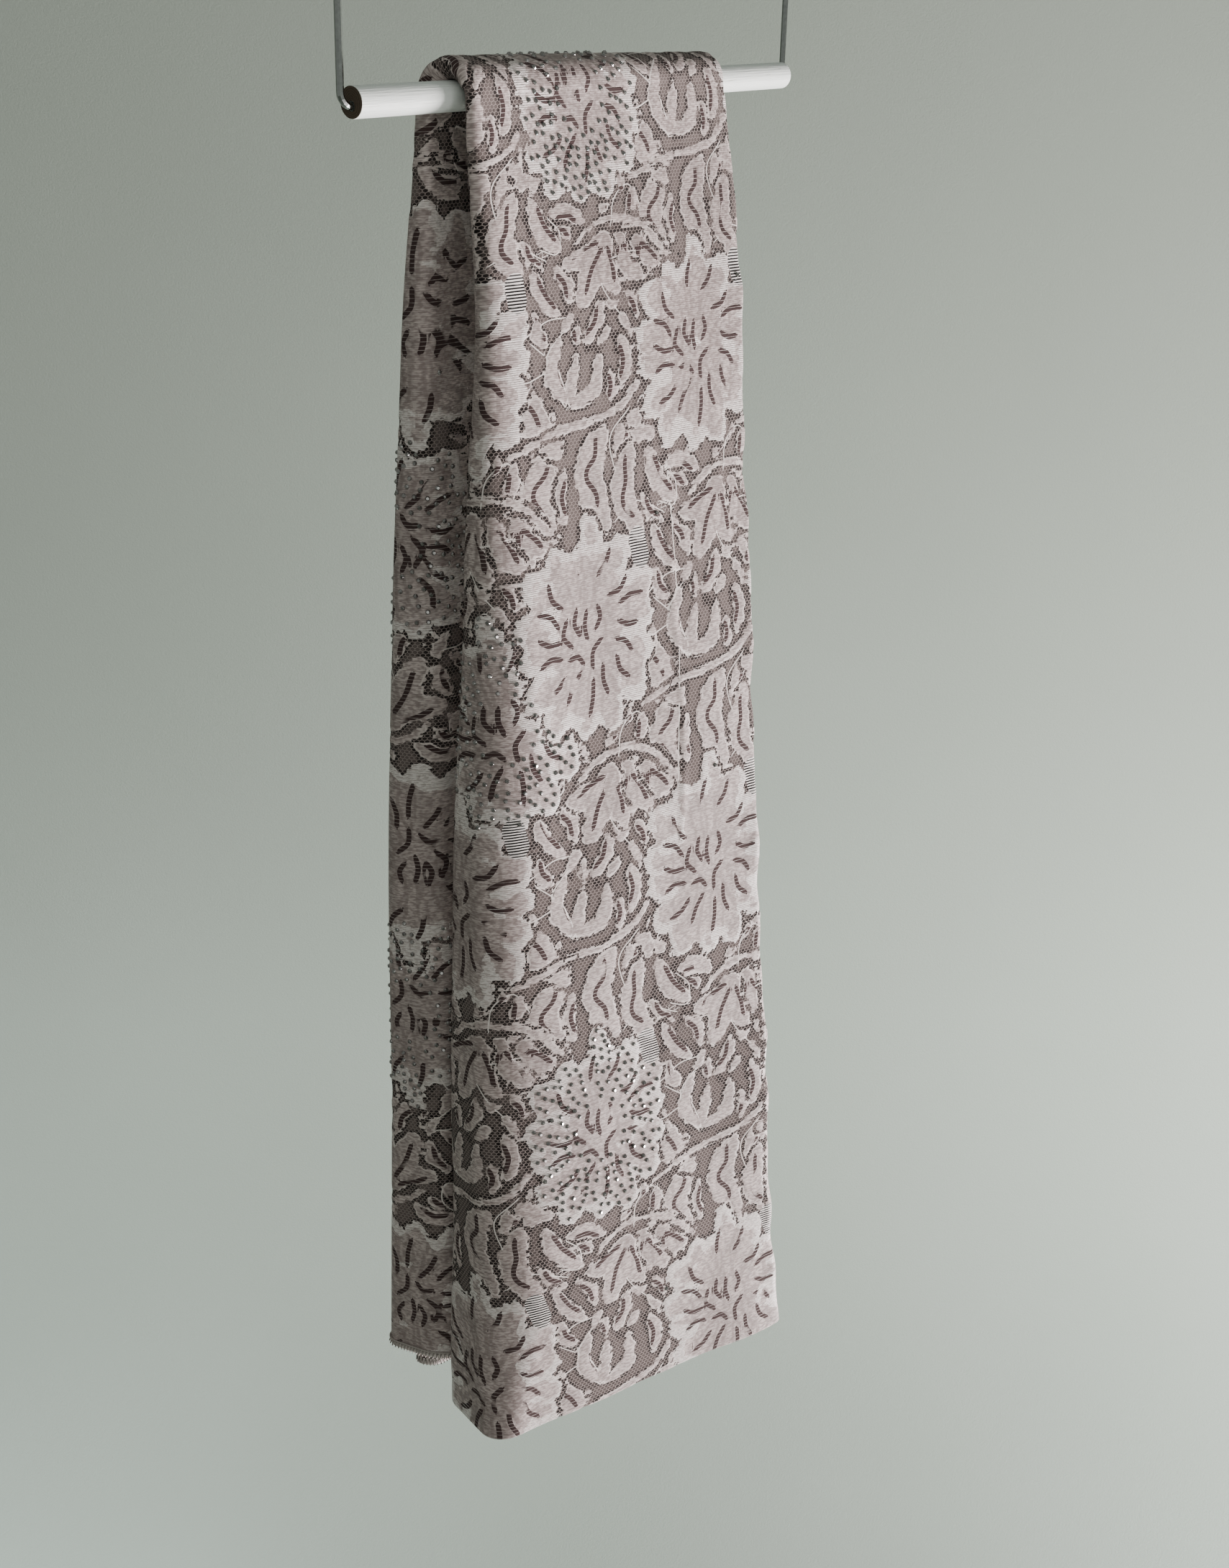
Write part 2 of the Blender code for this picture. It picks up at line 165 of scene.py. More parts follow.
# Distances on the lace: the largest one kept, how far round a group of strokes they are worked
# out, the net left free between two motifs, and how far a slit may reach out of its fill
FAR = 9.0
GROUP_MARGIN = 5.0
MOAT = 1.7
SLIT_OUT = 0.6
FILLS = ("fill", "bloom")
FIELDS = ("fill", "bloom", "seam", "ladder", "slit", "slit_side", "thread", "thread_side")

# Uneven edges of the fills: the wave's size, its depth on leaves and its depth on flowers
RAGGED = ((1.0, 0.4, 0.75), (1.9, 0.4, 0.9))
NEAR_FLOWER = 3.0

# Small leaves that fill the repeat's empty places
LEAF_COUNT = 11
LEAF_ROOM = 4.4
LEAF_CLEAR = 1.6
LEAF_WIDEST = 3.6
LEAF_STEP = 1.2
LEAF_STEPS = 8
LEAF_WAYS = 12
LEAF_SPARE = 0.5
SLIT_LEAF_LENGTH = 9.0
SLIT_LEAF_WIDE = 1.9

# Cut stones. A row of them: its side of the petal, its first and last share, and how many fewer
# it has. A stone's ring of points: its share of the radius and of the height, and its turn
LONE_STONES = ((53.0, 164.0), (25.5, 264.5), (61.0, 483.0), (3.0, 80.0), (156.0, -108.0))
STONE_ROWS = ((1, 0.3, 1.0, 0), (-1, 0.3, 1.0, 0), (0, 0.12, 0.85, 1))
STONE_SPACING = 3.5
STONE_INSET = 1.6
STONE_SCATTER = 0.35
STONE_NEAREST = 2.7
STONE_FREE_OVAL = (32.0, 39.0)
STONE_RADIUS = 0.95
STONE_HEIGHT = 0.75
STONE_SIDES = 8
STONE_RINGS = ((1.0, -0.25, 0.0), (1.0, 0.25, 0.0), (0.55, 1.0, math.pi / 8))
STONE_LEAN = 0.16
STONES_FROM = -8.0
STONES_TO = 175.0

# The overlock: the zigzag's height over the hem and lift off the cloth, at each of four places
STITCH_STEP = 1.5
STITCH_DEEP = 3.0
ZIGZAG = ((0.15, 0.72), (STITCH_DEEP, 0.36), (0.15, -0.45), (STITCH_DEEP, -0.36))
ZIGZAG_RADIUS = 0.3
CHAIN_LIFT = (0.62, 0.38)
CHAIN_RADIUS = 0.34
THREAD_SIDES = 5
THREAD_INSET = 0.5

# Net, courses and edges of the lace's surface
NET_ACROSS = 1.85
NET_DOWN = 2.2
NET_THREAD = 0.15
COURSE = 0.73
COMB = 1.3
FINE_COMB = 0.4
LADDER_PITCH = 1.05
OUTLINE_HALF = 0.27
SLIT_HALF = 1.0
SLIT_REACH = 1.7
SLITS_KEPT = 0.64
# Width of the painted highlight along the fills' edges
EDGE_HIGHLIGHT_WIDTH = 0.8
# How far round the fills the painted shadow on the net reaches
EDGE_SHADOW_REACH = 1.4
RIM = 4.8
RIM_SPREAD = 16.0
INSIDE = 7.0
UNDER_SPREAD = 1.6
UNDER_FADES_AT = 180.0
UNDER_FADE = 0.35

# Heights of the lace's threads over its ground
FILL_RISE = 0.34
NET_RISE = 0.13
OUTLINE_RISE = 0.36
LADDER_RISE = 0.3
SLIT_FALL = 0.24
COURSE_FALL = 0.03
RIM_COURSE_FALL = 0.1

FILL_COLOR = rgb(198, 181, 179)
FILL_SHADE = rgb(136, 120, 118)
# Pale flecks in the fills, and the painted highlight along their edges
PALE_FLECK_AND_EDGE_HIGHLIGHT = rgb(238, 223, 220)
# The rims' satin thread, its white partly a painted sheen; also the ladders' bars
RIM_SHEEN_AND_BAR_COLOR = rgb(255, 246, 244)
RIM_LINE = rgb(184, 168, 166)
NET_COLOR = rgb(160, 145, 142)
THREAD_COLOR = rgb(240, 229, 226)
# The second ply and the fold's inside, seen through the net, slits and ladders: darker copies of the
# lace's colours, painted shade
UNDER_FILL_IN_SHADE = rgb(108, 96, 94)
UNDER_THREAD_IN_SHADE = rgb(56, 44, 43)
DEEP_SHADE = rgb(18, 11, 12)
# The slits' open holes, painted with the shade of the plies behind them
SLIT_SHADE_COLOR = rgb(70, 53, 53)
ROOM_COLOR = rgb(205, 212, 203)

# Stage and light in metres: aside, ahead and height from the hook, then size, power, colour, aim
WALL_BEHIND = 1.5
FLOOR_LEVEL = -2.0
STAGE_TOP = 2.5
STAGE_REACH = 4.0
COVE = 0.8
COVE_STEPS = 12
ROOM_LIGHT = 0.41
LIGHTS = (
    ("key", (2.35, 0.42, -1.6), (1.2, 1.2), 240.0, (1.0, 0.93, 0.915), (0, 0, -0.6)),
    ("low_fill", (1.3, -0.9, -1.25), (0.6, 0.6), 5.5, (1.0, 0.94, 0.93), (0, 0, -0.62)),
    ("front_fill", (0.5, -1.9, -0.1), (1.6, 1.2), 4.5, (0.95, 1.0, 0.94), (0, 0, -0.5)),
    ("wall_wash", (1.2, 0.5, -1.95), (1.4, 0.6), 33.0, (0.84, 0.95, 1.0), (0.7, 1.5, -1.5)),
    ("low_left", (-0.8, 0.6, -1.8), (0.8, 0.4), 9.0, (0.9, 0.98, 1.0), (-0.8, 1.5, -1.95)),
)


def unit(vectors):
    """Vectors along the last axis, made one long."""
    return vectors / np.maximum(np.linalg.norm(vectors, axis=-1, keepdims=True), 1e-9)


def beside(line):
    """Unit steps at right angles to a flat line, at each of its points."""
    run = unit(np.gradient(line, axis=0))
    return np.stack([-run[:, 1], run[:, 0]], 1)


def rod_axes():
    """The rod's own directions: along it, and up at right angles to it."""
    along = np.array([math.cos(ROD_TILT), 0.0, math.sin(ROD_TILT)])
    up = np.array([-math.sin(ROD_TILT), 0.0, math.cos(ROD_TILT)])
    return along, up


def half_turn(across, first, last, side):
    """A round fold from one level to the next, bulging left (-1) or right (1)."""
    turn = np.linspace(0, math.pi, FINE["fold"] + 1)
    middle = (first + last) / 2
    reach = (first - last) / 2
    return np.stack([across + side * abs(reach) * np.sin(turn), middle + reach * np.cos(turn)], 1)


def quarter(across, inward, reach_across, reach_inward, side, steps):
    """A quarter of an ellipse at the left edge: from the face (-1), or on to the rear (1)."""
    turn = np.linspace(0, math.pi / 2, steps + 1)
    if side < 0:
        turn = turn[::-1]
    return np.stack([across - reach_across * np.cos(turn),
                     inward + side * reach_inward * np.sin(turn)], 1)


def straight(first, last, steps):
    """Inner points of a straight run, without its two ends."""
    share = np.linspace(0, 1, steps + 1)[1:-1, None]
    return np.asarray(first) + (np.asarray(last) - np.asarray(first)) * share


def level(at, across, leg):
    """How far in a leg of the fold lies: leg 0 is the face and leg 3 the rear."""
    depth = at["depth_left"] + (at["depth_right"] - at["depth_left"]) * across / at["width"]
    return WALL / 2 + (depth - WALL) * leg / (LEGS - 1)


def inner_layers(at, closed_fold):
    """From the inner free edge left to the inner fold, and right to the closed fold."""
    slack = INNER_FOLD_SLACK * max(0.0, at["depth_left"] - CROWN["depth_left"])
    across = (at["depth_left"] - WALL) / (LEGS - 1) / 2 + 1.5 * WALL + GAP + slack
    fold = half_turn(across, level(at, across, 2), level(at, across, 1), -1)
    edge = at["width"] - FREE_EDGE_INSET[0]
    free = (edge, level(at, edge, 2))
    return np.concatenate([[free], straight(free, fold[0], FINE["leg"]), fold,
                           straight(fold[-1], closed_fold[0], FINE["leg"])])


def outer_layer(at, closed_fold):
    """Round the closed fold, left along the face, round the left fold and right to the free edge."""
    front, rear = WALL / 2, level(at, REAR_CORNER, 3)
    ahead = min(at["round_inward"], (1 - SIDE_SHARE) * (rear - front) / 2)
    behind = min(REAR_CORNER, (1 - SIDE_SHARE) * (rear - front) - ahead)
    face_round = quarter(WALL / 2 + at["round_across"], front + ahead, at["round_across"], ahead, -1,
                         FINE["face_round"])
    rear_round = quarter(WALL / 2 + behind, rear - behind, behind, behind, 1, FINE["rear_round"])
    edge = at["width"] - FREE_EDGE_INSET[1]
    free = (edge, level(at, edge, 3))
    return np.concatenate([
        closed_fold, straight(closed_fold[-1], face_round[0], FINE["face"]), face_round,
        straight(face_round[-1], rear_round[0], FINE["side"]), rear_round,
        straight(rear_round[-1], free, FINE["rear_leg"]), [free]])


def fold_section(at):
    """The folded cloth's line across its width, the place across the cloth of each of its points
    from the closed fold, and which points are on the outer layer.

    The line starts at the inner free edge and ends at the outer one. It is the wall's middle,
    but for the outer layer, where it lies on the solid's skin.
    """
    width = at["width"]
    across = width - WALL / 2 - (level(at, width, 1) - level(at, width, 0)) / 2
    closed_fold = half_turn(across, level(at, across, 1), level(at, across, 0), 1)
    inner = inner_layers(at, closed_fold)
    line = np.concatenate([inner, outer_layer(at, closed_fold)])
    line[:, 0] += at["lean"] * line[:, 1] * np.maximum(0.0, 1 - line[:, 0] / width)
    run = np.concatenate([[0.0], np.cumsum(np.linalg.norm(np.diff(line, axis=0), axis=1))])
    place = run - run[len(inner) + FINE["fold"] // 2]
    is_outer = np.arange(len(line)) >= len(inner)
    return line + beside(line) * (is_outer[:, None] * WALL / 2), place, is_outer


def table_at(table, drops):
    """The table read off along smooth curves at each drop, as one dict a row."""
    rows = np.array(table, float)
    keys = rows[:, 0]
    slopes = np.gradient(rows, keys, axis=0)
    found = []
    for drop in drops:
        at = min(max(int(np.searchsorted(keys, drop, side="right")) - 1, 0), len(keys) - 2)
        span = keys[at + 1] - keys[at]
        t = (drop - keys[at]) / span
        blend = rows[at] * (1 + 2 * t) * (1 - t) ** 2 + rows[at + 1] * t * t * (3 - 2 * t)
        blend += span * (slopes[at] * t * (1 - t) ** 2 - slopes[at + 1] * t * t * (1 - t))
        found.append(dict(zip(COLUMNS, blend)))
    return found


def skin_normals(points):
    """Directions square to the skin at each point of a grid of rows."""
    return unit(np.cross(np.gradient(points, axis=0), np.gradient(points, axis=1)))


class Grid:
    """Rows of points of a cloth shell, with the place of each point on the lace."""

    def __init__(self):
        self.points = []
        self.across = []
        self.down = []
        self.outer = []

    def add(self, points, across, down, outer, before=None):
        """One more row, at the end or before a row that is there."""
        before = len(self.points) if before is None else before
        self.points.insert(before, points)
        self.across.insert(before, across)
        self.down.insert(before, np.broadcast_to(down, across.shape))
        self.outer.insert(before, outer)

    def done(self):
        """Makes arrays of the rows: points (rows, columns, 3), and (rows, columns) of the rest."""
        self.points = np.array(self.points)
        self.across = np.array(self.across)
        self.down = np.array(self.down, float)
        self.outer = np.array(self.outer)
        self.normals = skin_normals(self.points)
        from_middle = self.points[self.outer] - self.points[self.outer].mean(0)
        if (from_middle * self.normals[self.outer]).sum() < 0:
            self.normals = -self.normals
        return self


def crown_length():
    """Half of the cloth's way over the rod, on the stack's outer face."""
    return math.pi / 2 * (ROD_DIAMETER / 2 + GAP + (CROWN["depth_left"] + CROWN["depth_right"]) / 2)


def hang_grid(table, side):
    """The shell of one hang; side is -1 for the front and 1 for the back."""
    top = -ROD_BELOW_HOOK + PANEL_LEFT * math.tan(ROD_TILT)
    length = table[-1][0]
    drops = np.linspace(0, length, int(round(length / CELL)) + 1)
    grid = Grid()
    for at in table_at(table, drops):
        share = at["drop"] / length
        twist = math.radians(at["twist"])
        tilt = ROD_TILT * (1 - share) ** 3
        along = np.array([math.cos(tilt) * math.cos(twist), -math.cos(tilt) * math.sin(twist),
                          math.sin(tilt)])
        inward = np.array([-side * math.sin(twist), -side * math.cos(twist), 0.0])
        left = np.array([at["left_x"], at["left_y"], top - at["drop"]])
        line, place, is_outer = fold_section(at)
        points = left + along * line[:, :1] + inward * line[:, 1:]
        if side > 0:
            points[:, 2] -= INNER_HEM_LOWER * share * ~is_outer
        grid.add(points, place, -side * (crown_length() + at["drop"]), is_outer)
    if side < 0:
        add_bottom_fold(grid)
    return grid.done()


def add_bottom_fold(grid):
    """Turns the last rows in and up: the shawl is doubled end to end at the front hang's foot."""
    last, across, foot, outer = grid.points[-1], grid.across[-1], grid.down[-1], grid.outer[-1]
    down = unit(last - grid.points[-2])
    inward = unit(np.cross(np.gradient(last, axis=0), down))
    if ((last[outer] - last[outer].mean(0)) * inward[outer]).sum() > 0:
        inward = -inward
    for step in range(1, BOTTOM_CURL_STEPS + 1):
        turn = math.pi * step / BOTTOM_CURL_STEPS
        curl = inward * (1 - math.cos(turn)) + down * math.sin(turn)
        grid.add(last + WALL / 2 * curl, across, foot + WALL / 2 * turn, outer)
    foot = grid.down[-1]
    for rise in (BOTTOM_CURL_RISE / 2, BOTTOM_CURL_RISE):
        grid.add(last + inward * WALL - down * rise, across, foot + rise, outer)


def crown_grid():
    """The shell over the rod, from the front hang to the back hang."""
    along, up = rod_axes()
    grid = Grid()
    clear = ROD_DIAMETER / 2 + GAP
    foot = np.array([0.0, 0.0, -ROD_BELOW_HOOK]) + along * (PANEL_LEFT / along[0])
    for step in range(CROWN_CELLS + 1):
        angle = math.pi * step / CROWN_CELLS
        lean = CROWN_LEAN_IN_FRONT * (1 - step / CROWN_CELLS)
        line, place, is_outer = fold_section(dict(CROWN, lean=lean))
        out = np.array([0.0, -math.cos(angle), 0.0]) + up * math.sin(angle)
        left = foot + out * (clear + CROWN["depth_left"])
        right = foot + along * PANEL_WIDTH + out * (clear + CROWN["depth_right"])
        points = left + unit(right - left) * line[:, :1] - out * line[:, 1:]
        grid.add(points, place, crown_length() * (1 - 2 * step / CROWN_CELLS), is_outer)
    # A row lies two gaps lower at each end: just before the last one, and ahead of the first
    for row, before, way in ((CROWN_CELLS - 1, CROWN_CELLS, -1), (0, 0, 1)):
        lowered_row = grid.points[row] - np.array([0.0, 0.0, 2 * GAP])
        grid.add(lowered_row, grid.across[row], grid.down[row] + way * 2 * GAP, grid.outer[row], before)
    return grid.done()


def curve(*points, steps=14):
    """A smooth line through a few points, in equal steps of its parameter."""
    points = np.array(points, float)
    if len(points) == 2:
        return points[0] + (points[1] - points[0]) * np.linspace(0, 1, steps + 1)[:, None]
    padded = np.concatenate([[2 * points[0] - points[1]], points, [2 * points[-1] - points[-2]]])
    spans = len(points) - 1
    found = []
    for place in np.linspace(0, spans, steps + 1):
        span = min(int(place), spans - 1)
        t = place - span
        a, b, c, d = padded[span:span + 4]
        found.append(0.5 * (2 * b + (c - a) * t + (2 * a - 5 * b + 4 * c - d) * t * t
                            + (3 * b - a - 3 * c + d) * t ** 3))
    return np.array(found)


def bent(start, end, bend, steps=14):
    """A curve between two points, its middle moved aside by a share of its length."""
    start, end = np.array(start, float), np.array(end, float)
    side = np.array([start[1] - end[1], end[0] - start[0]])
    return curve(start, (start + end) / 2 + side * bend, end, steps=steps)


def leaf_widths(count, widest, peak=0.5, tip=0.15, scallops=0, depth=0.0):
    """Half widths along a leaf or petal: widest at peak, with scalloped edges if asked."""
    t = np.linspace(0, 1, count)
    bow = t ** (math.log(0.5) / math.log(peak))
    width = np.maximum(np.sin(math.pi * bow), 0.0) ** 0.6
    if scallops:
        width = width * (1 - depth * (1 - np.abs(np.sin(math.pi * scallops * t))))
    return widest * (tip + (1 - tip) * width)


def stroke(kind, line, widths):
    """One stroke of a motif: what it is, its middle line, and its half width at each point."""
    return (kind, np.asarray(line), np.asarray(widths, float) * np.ones(len(line)))


def petal(start, end, widest, bend=0.0, peak=0.6, tip=0.1, scallops=0, depth=0.0, kind="fill"):
    """A filled petal or leaf between two points."""
    line = bent(start, end, bend)
    return stroke(kind, line, leaf_widths(len(line), widest, peak, tip, scallops, depth))


def slit(start, end, bend=0.0, half=0.75):
    """A row of open holes between two points."""
    return stroke("slit", bent(start, end, bend, steps=7), half)


def inner_slit(start, end, bend):
    """A row of holes along the middle half of a leaf."""
    start, end = np.array(start), np.array(end)
    return slit(start + (end - start) * 0.25, start + (end - start) * 0.75, bend, 0.6)


def polar(angle, reach, stretch=1.0):
    """A point at an angle from straight up, turning right."""
    turn = math.radians(angle)
    return (reach * math.sin(turn), -reach * math.cos(turn) * stretch)


def thread(*points):
    """An outline thread through a few points."""
    return stroke("thread", curve(*points, steps=12), 0)


def big_flower():
    """A full flower of scalloped petals round a small cup, higher than wide."""
    strokes = [stroke("bloom", [(0, -13), (0, 15)], 20.0)]
    for index, (angle, reach, widest) in enumerate(PETALS):
        base, tip = polar(angle, 10), polar(angle, reach - 3.2, stretch=1.05)
        bend = 0.07 * (-1) ** index
        strokes.append(petal(base, tip, widest * 0.96, bend, 0.66, 0.22, 5, 0.38, "bloom"))
    for angle, near, far, bend in PETAL_SLITS:
        strokes.append(slit(polar(angle, near), polar(angle + 6, far - 1.5), bend))
    for across, top, low, bend in ((-11, -6, 3, .3), (-6, -9, -1, .2), (-1, -8, 1, .1), (5, -9, -2, -.2)):
        strokes.append(slit((across, top), (across * 0.8, low), bend, half=0.85))
    strokes.append(slit((2, 12), (6, 3), -.2))
    strokes.append(slit((-9, 8), (-3, 10), -.25))
    return strokes


def small_flower(size=1.0):
    """Five round petals."""
    return [petal(polar(72 * k + 8, 1.0), polar(72 * k + 8, 7.8 * size), 3.3 * size, peak=0.66, tip=0.25)
            for k in range(5)]


def tongue(start, middle, end, widest, scallops):
    """A long drooping leaf with wavy edges and a winding row of holes."""
    line = curve(start, middle, end, steps=22)
    strokes = [stroke("fill", line, leaf_widths(len(line), widest, 0.5, 0.3, scallops, 0.36))]
    wave = np.sin(np.linspace(0, scallops * math.pi, len(line)))
    rib = line + beside(line) * (wave * widest * 0.2)[:, None]
    strokes.append(stroke("slit", rib[3:-5], 0.8))
    return strokes


def vine_leaf(base, tip, widest):
    """A pointed leaf with three lobes and a row of holes along each."""
    base, tip = np.array(base, float), np.array(tip, float)
    along = tip - base
    side = np.array([-along[1], along[0]])
    strokes = [petal(base, tip, widest, 0.0, 0.42, 0.06, 3, 0.3)]
    for way in (1, -1):
        lobe = base + along * 0.6 + side * 0.52 * way
        strokes.append(petal(base, lobe, widest * 0.62, -0.14 * way, 0.6, 0.08))
        strokes.append(slit(base + along * 0.16 + side * 0.12 * way,
                            base + along * 0.46 + side * 0.38 * way, 0.05 * way, 0.65))
    strokes.append(slit(base + along * 0.22, base + along * 0.78, 0.06))
    return strokes


def stem(points, start, end):
    """A curved stem that widens or thins from one end to the other."""
    line = curve(*points, steps=18)
    return stroke("fill", line, np.linspace(start, end, len(line)))


def tulip():
    """A bud of three curled petals, open at its middle."""
    return [
        petal((0, 16), (-11, -8), 3.9, -0.24, 0.5, 0.1, 3, 0.25),
        petal((0, 16), (10, -6), 3.7, 0.28, 0.5, 0.1, 3, 0.25),
        petal((0, 16), (-1, -3), 3.2, 0.0, 0.45, 0.1, 2, 0.2),
        slit((-4.8, 9), (-7, -2), -0.2),
        slit((4, 9), (5.6, 0), 0.2),
        petal((-10, -9), (-7, -17), 2.4, tip=0.1),
        petal((9, -8), (13, -15), 2.2, tip=0.1),
        thread((-10, -9), (-15, 0), (-11, 10), (-1, 17)),
    ]


def moved(motif, across, down, turn):
    """A motif turned and put at its place in the repeat."""
    c, s = math.cos(math.radians(turn)), math.sin(math.radians(turn))
    way = np.array([[c, s], [-s, c]])
    return [(kind, line @ way + (across, down), widths) for kind, line, widths in motif]


def repeat_groups():
    """The motifs round one flower, each a list of strokes; right and down are plus."""
    groups = [big_flower()]
    groups += [vine_leaf(*leaf) for leaf in (
        ((11, 52), (-2, 79), 7.4), ((18, 52), (14, 81), 6.6), ((27, 54), (31, 77), 6.4))]
    groups.append([stem([(-9, 61), (0, 50), (16, 45.5), (33, 51), (49, 69)], 1.2, 1.6)])
    groups.append(moved(tulip(), -4, 99, 16))
    groups.append([stem([(19, 84), (29, 101), (21, 115), (4, 121), (-14, 123), (-36, 130)], 1.7, 1.1)])
    groups += [tongue(*leaf) for leaf in (
        ((-38, 84), (-33, 106), (-14, 131), 7.6, 5), ((8, 124), (1, 140), (9, 160), 7.4, 5),
        ((-13, 127), (-24, 144), (-15, 166), 7.0, 5), ((-38, 34), (-42, 50), (-33, 66), 6.2, 4))]
    groups.append(moved(small_flower(), 40, 25, 10))
    groups.append(moved(small_flower(0.95), 29, 124, -14))
    for start, end, widest, bend in (
            ((-29, 34), (-12, 57), 4.4, 0.12), ((-27, 62), (-12, 82), 3.4, 0.1),
            ((-9, 79), (-4, 94), 2.6, -0.1), ((24, 119), (17, 141), 3.8, 0.14),
            ((-36, 130), (-52, 142), 3.2, 0.1), ((-36, 130), (-53, 127), 2.8, -0.1),
            ((-34, 131), (-40, 152), 3.8, -0.12), ((38, 60), (35, 74), 3.2, 0.2),
            ((8, 160), (22, 168), 2.6, 0.1), ((46, 118), (38, 134), 3.2, -0.1)):
        groups.append([petal(start, end, widest, bend, 0.5, 0.06, 2, 0.15),
                       inner_slit(start, end, bend / 2)])
    groups.append([stroke("ladder", curve((-35, 67), (-33, 74), steps=3), 4.4)])
    threads = [thread(*points) for points in (
        ((30, 44), (36, 43)), ((-10, 82), (-20, 83), (-36, 92)), ((19, 84), (12, 76), (6, 66)),
        ((-38, 20), (-48, 30), (-44, 46)), ((34, -8), (46, 2), (52, 16)),
        ((14, 48), (16, 38), (24, 33), (30, 41)), ((-18, 101), (-30, 104), (-33, 95), (-28, 84)),
        ((38, 154), (46, 156), (47, 148), (41, 142)),
        ((14, 158), (24, 152), (40, 158)), ((-20, 164), (-32, 158), (-46, 160)))]
    return groups + small_leaves(groups) + [threads]


def to_stroke(px, py, points, widths):
    """Distance to a stroke's middle line, to its edge (inside is minus), and its side."""
    best = np.full(len(px), 1e9)
    value = np.full(len(px), 1e9)
    side = np.ones(len(px))
    for a, b, wa, wb in zip(points, points[1:], widths, widths[1:]):
        run = b - a
        length = max(run @ run, 1e-9)
        t = np.clip(((px - a[0]) * run[0] + (py - a[1]) * run[1]) / length, 0, 1)
        dx, dy = px - a[0] - t * run[0], py - a[1] - t * run[1]
        distance = np.hypot(dx, dy)
        closer = distance < best
        side = np.where(closer, np.where(run[0] * dy - run[1] * dx < 0, -1.0, 1.0), side)
        best = np.minimum(best, distance)
        value = np.minimum(value, distance - (wa + (wb - wa) * t))
    return best, value, side


def take_room(room, x, y, motif):
    """Lowers the room at each place to its distance from the motif's fills, in every repeat."""
    for kind, line, widths in motif:
        if kind in ("slit", "thread"):
            continue
        margin = widths.max() + FAR
        for i in range(-2, 3):
            for j in range(-2, 2):
                placed = line + (i * REPEAT_ACROSS / 2, (2 * j + i % 2) * REPEAT_DOWN / 2)
                low, high = placed.min(0) - margin, placed.max(0) + margin
                near = np.flatnonzero((x > low[0]) & (x < high[0]) & (y > low[1]) & (y < high[1]))
                if len(near):
                    _, value, _ = to_stroke(x[near], y[near], placed, widths)
                    room[near] = np.minimum(room[near], value)


def longest_leaf(room, x, y, centre):
    """The length and ends of the longest straight leaf through a place, clear of the fills."""
    steps = np.arange(1, LEAF_STEPS + 1) * LEAF_STEP
    best = (0.0, centre, centre)
    for way in (np.array(polar(180 / LEAF_WAYS * k, 1.0)) for k in range(LEAF_WAYS)):
        reach = []
        for sign in (-1, 1):
            ahead = centre + sign * steps[:, None] * way
            index = [int(np.argmin((x - px) ** 2 + (y - py) ** 2)) for px, py in ahead]
            blocked = np.flatnonzero(room[index] < LEAF_CLEAR + LEAF_SPARE)
            reach.append(LEAF_STEP * (blocked[0] if len(blocked) else LEAF_STEPS))
        if sum(reach) > best[0]:
            best = (sum(reach), centre - way * reach[0], centre + way * reach[1])
    return best


def small_leaves(groups):
    """Small leaves grown into the repeat's empty places, the roomiest place first."""
    half, full = REPEAT_ACROSS / 2, REPEAT_DOWN / 2
    x, y = np.meshgrid(np.arange(-half, half, LEAF_STEP), np.arange(-full, full, LEAF_STEP))
    x, y = x.ravel(), y.ravel()
    room = np.full(x.size, FAR)
    for motif in groups:
        take_room(room, x, y, motif)
    found = []
    while len(found) < LEAF_COUNT and room.max() > LEAF_ROOM:
        at = int(room.argmax())
        wide = min(room[at] - LEAF_CLEAR, LEAF_WIDEST)
        length, start, end = longest_leaf(room, x, y, np.array([x[at], y[at]]))
        if not length:
            room[at] = 0.0
            continue
        bend = 0.14 * (-1) ** len(found)
        leaf = [petal(start, end, wide, bend, 0.5, 0.1, 2, 0.2)]
        if length > SLIT_LEAF_LENGTH and wide > SLIT_LEAF_WIDE:
            leaf.append(inner_slit(start, end, bend))
        found.append(leaf)
        take_room(room, x, y, leaf)
    return found


def lattice(across_low, across_high, down_low, down_high):
    """Centres of the repeats that touch a stretch of cloth."""
    found = []
    for column in range(-REPEATS_TRIED, REPEATS_TRIED):
        across = FIRST_FLOWER[0] + column * REPEAT_ACROSS / 2
        for row in range(-REPEATS_TRIED, REPEATS_TRIED):
            down = FIRST_FLOWER[1] + REPEAT_DOWN / 2 * (column % 2) + row * REPEAT_DOWN
            if (across_low - REPEAT_REACH < across < across_high + REPEAT_REACH
                    and down_low - REPEAT_TAIL < down < down_high + REPEAT_REACH):
                found.append((across, down))
    return found


def add_group(out, near, px, py, group, full):
    """Takes one placed group into the distances; its fills keep a moat from those there before."""
    own = np.full(len(near), FAR)
    seam = np.full(len(near), FAR)
    has_seams = sum(kind in FILLS for kind, _, _ in group) > 1
    lines = []
    for kind, line, widths in group:
        if kind not in FILLS and not full:
            continue
        best, value, side = to_stroke(px, py, line, widths)
        if kind in FILLS:
            own = np.minimum(own, value)
            seam = np.minimum(seam, np.abs(value)) if has_seams else seam
        elif kind == "ladder":
            out["ladder"][near] = np.minimum(out["ladder"][near], value)
        else:
            lines.append((kind, best, side))
    own = np.where(own < FAR, np.maximum(own, MOAT - out["fill"][near]), own)
    out["seam"][near] = np.minimum(out["seam"][near], np.where(own < 0, seam, FAR))
    if group[0][0] == "bloom":
        out["bloom"][near] = np.minimum(out["bloom"][near], own)
    out["fill"][near] = np.minimum(out["fill"][near], own)
    for kind, best, side in lines:
        closer = best < out[kind][near]
        if kind == "slit":
            closer &= own < SLIT_OUT
        hit = near[closer]
        out[kind][hit] = best[closer]
        out[kind + "_side"][hit] = (best * side)[closer]


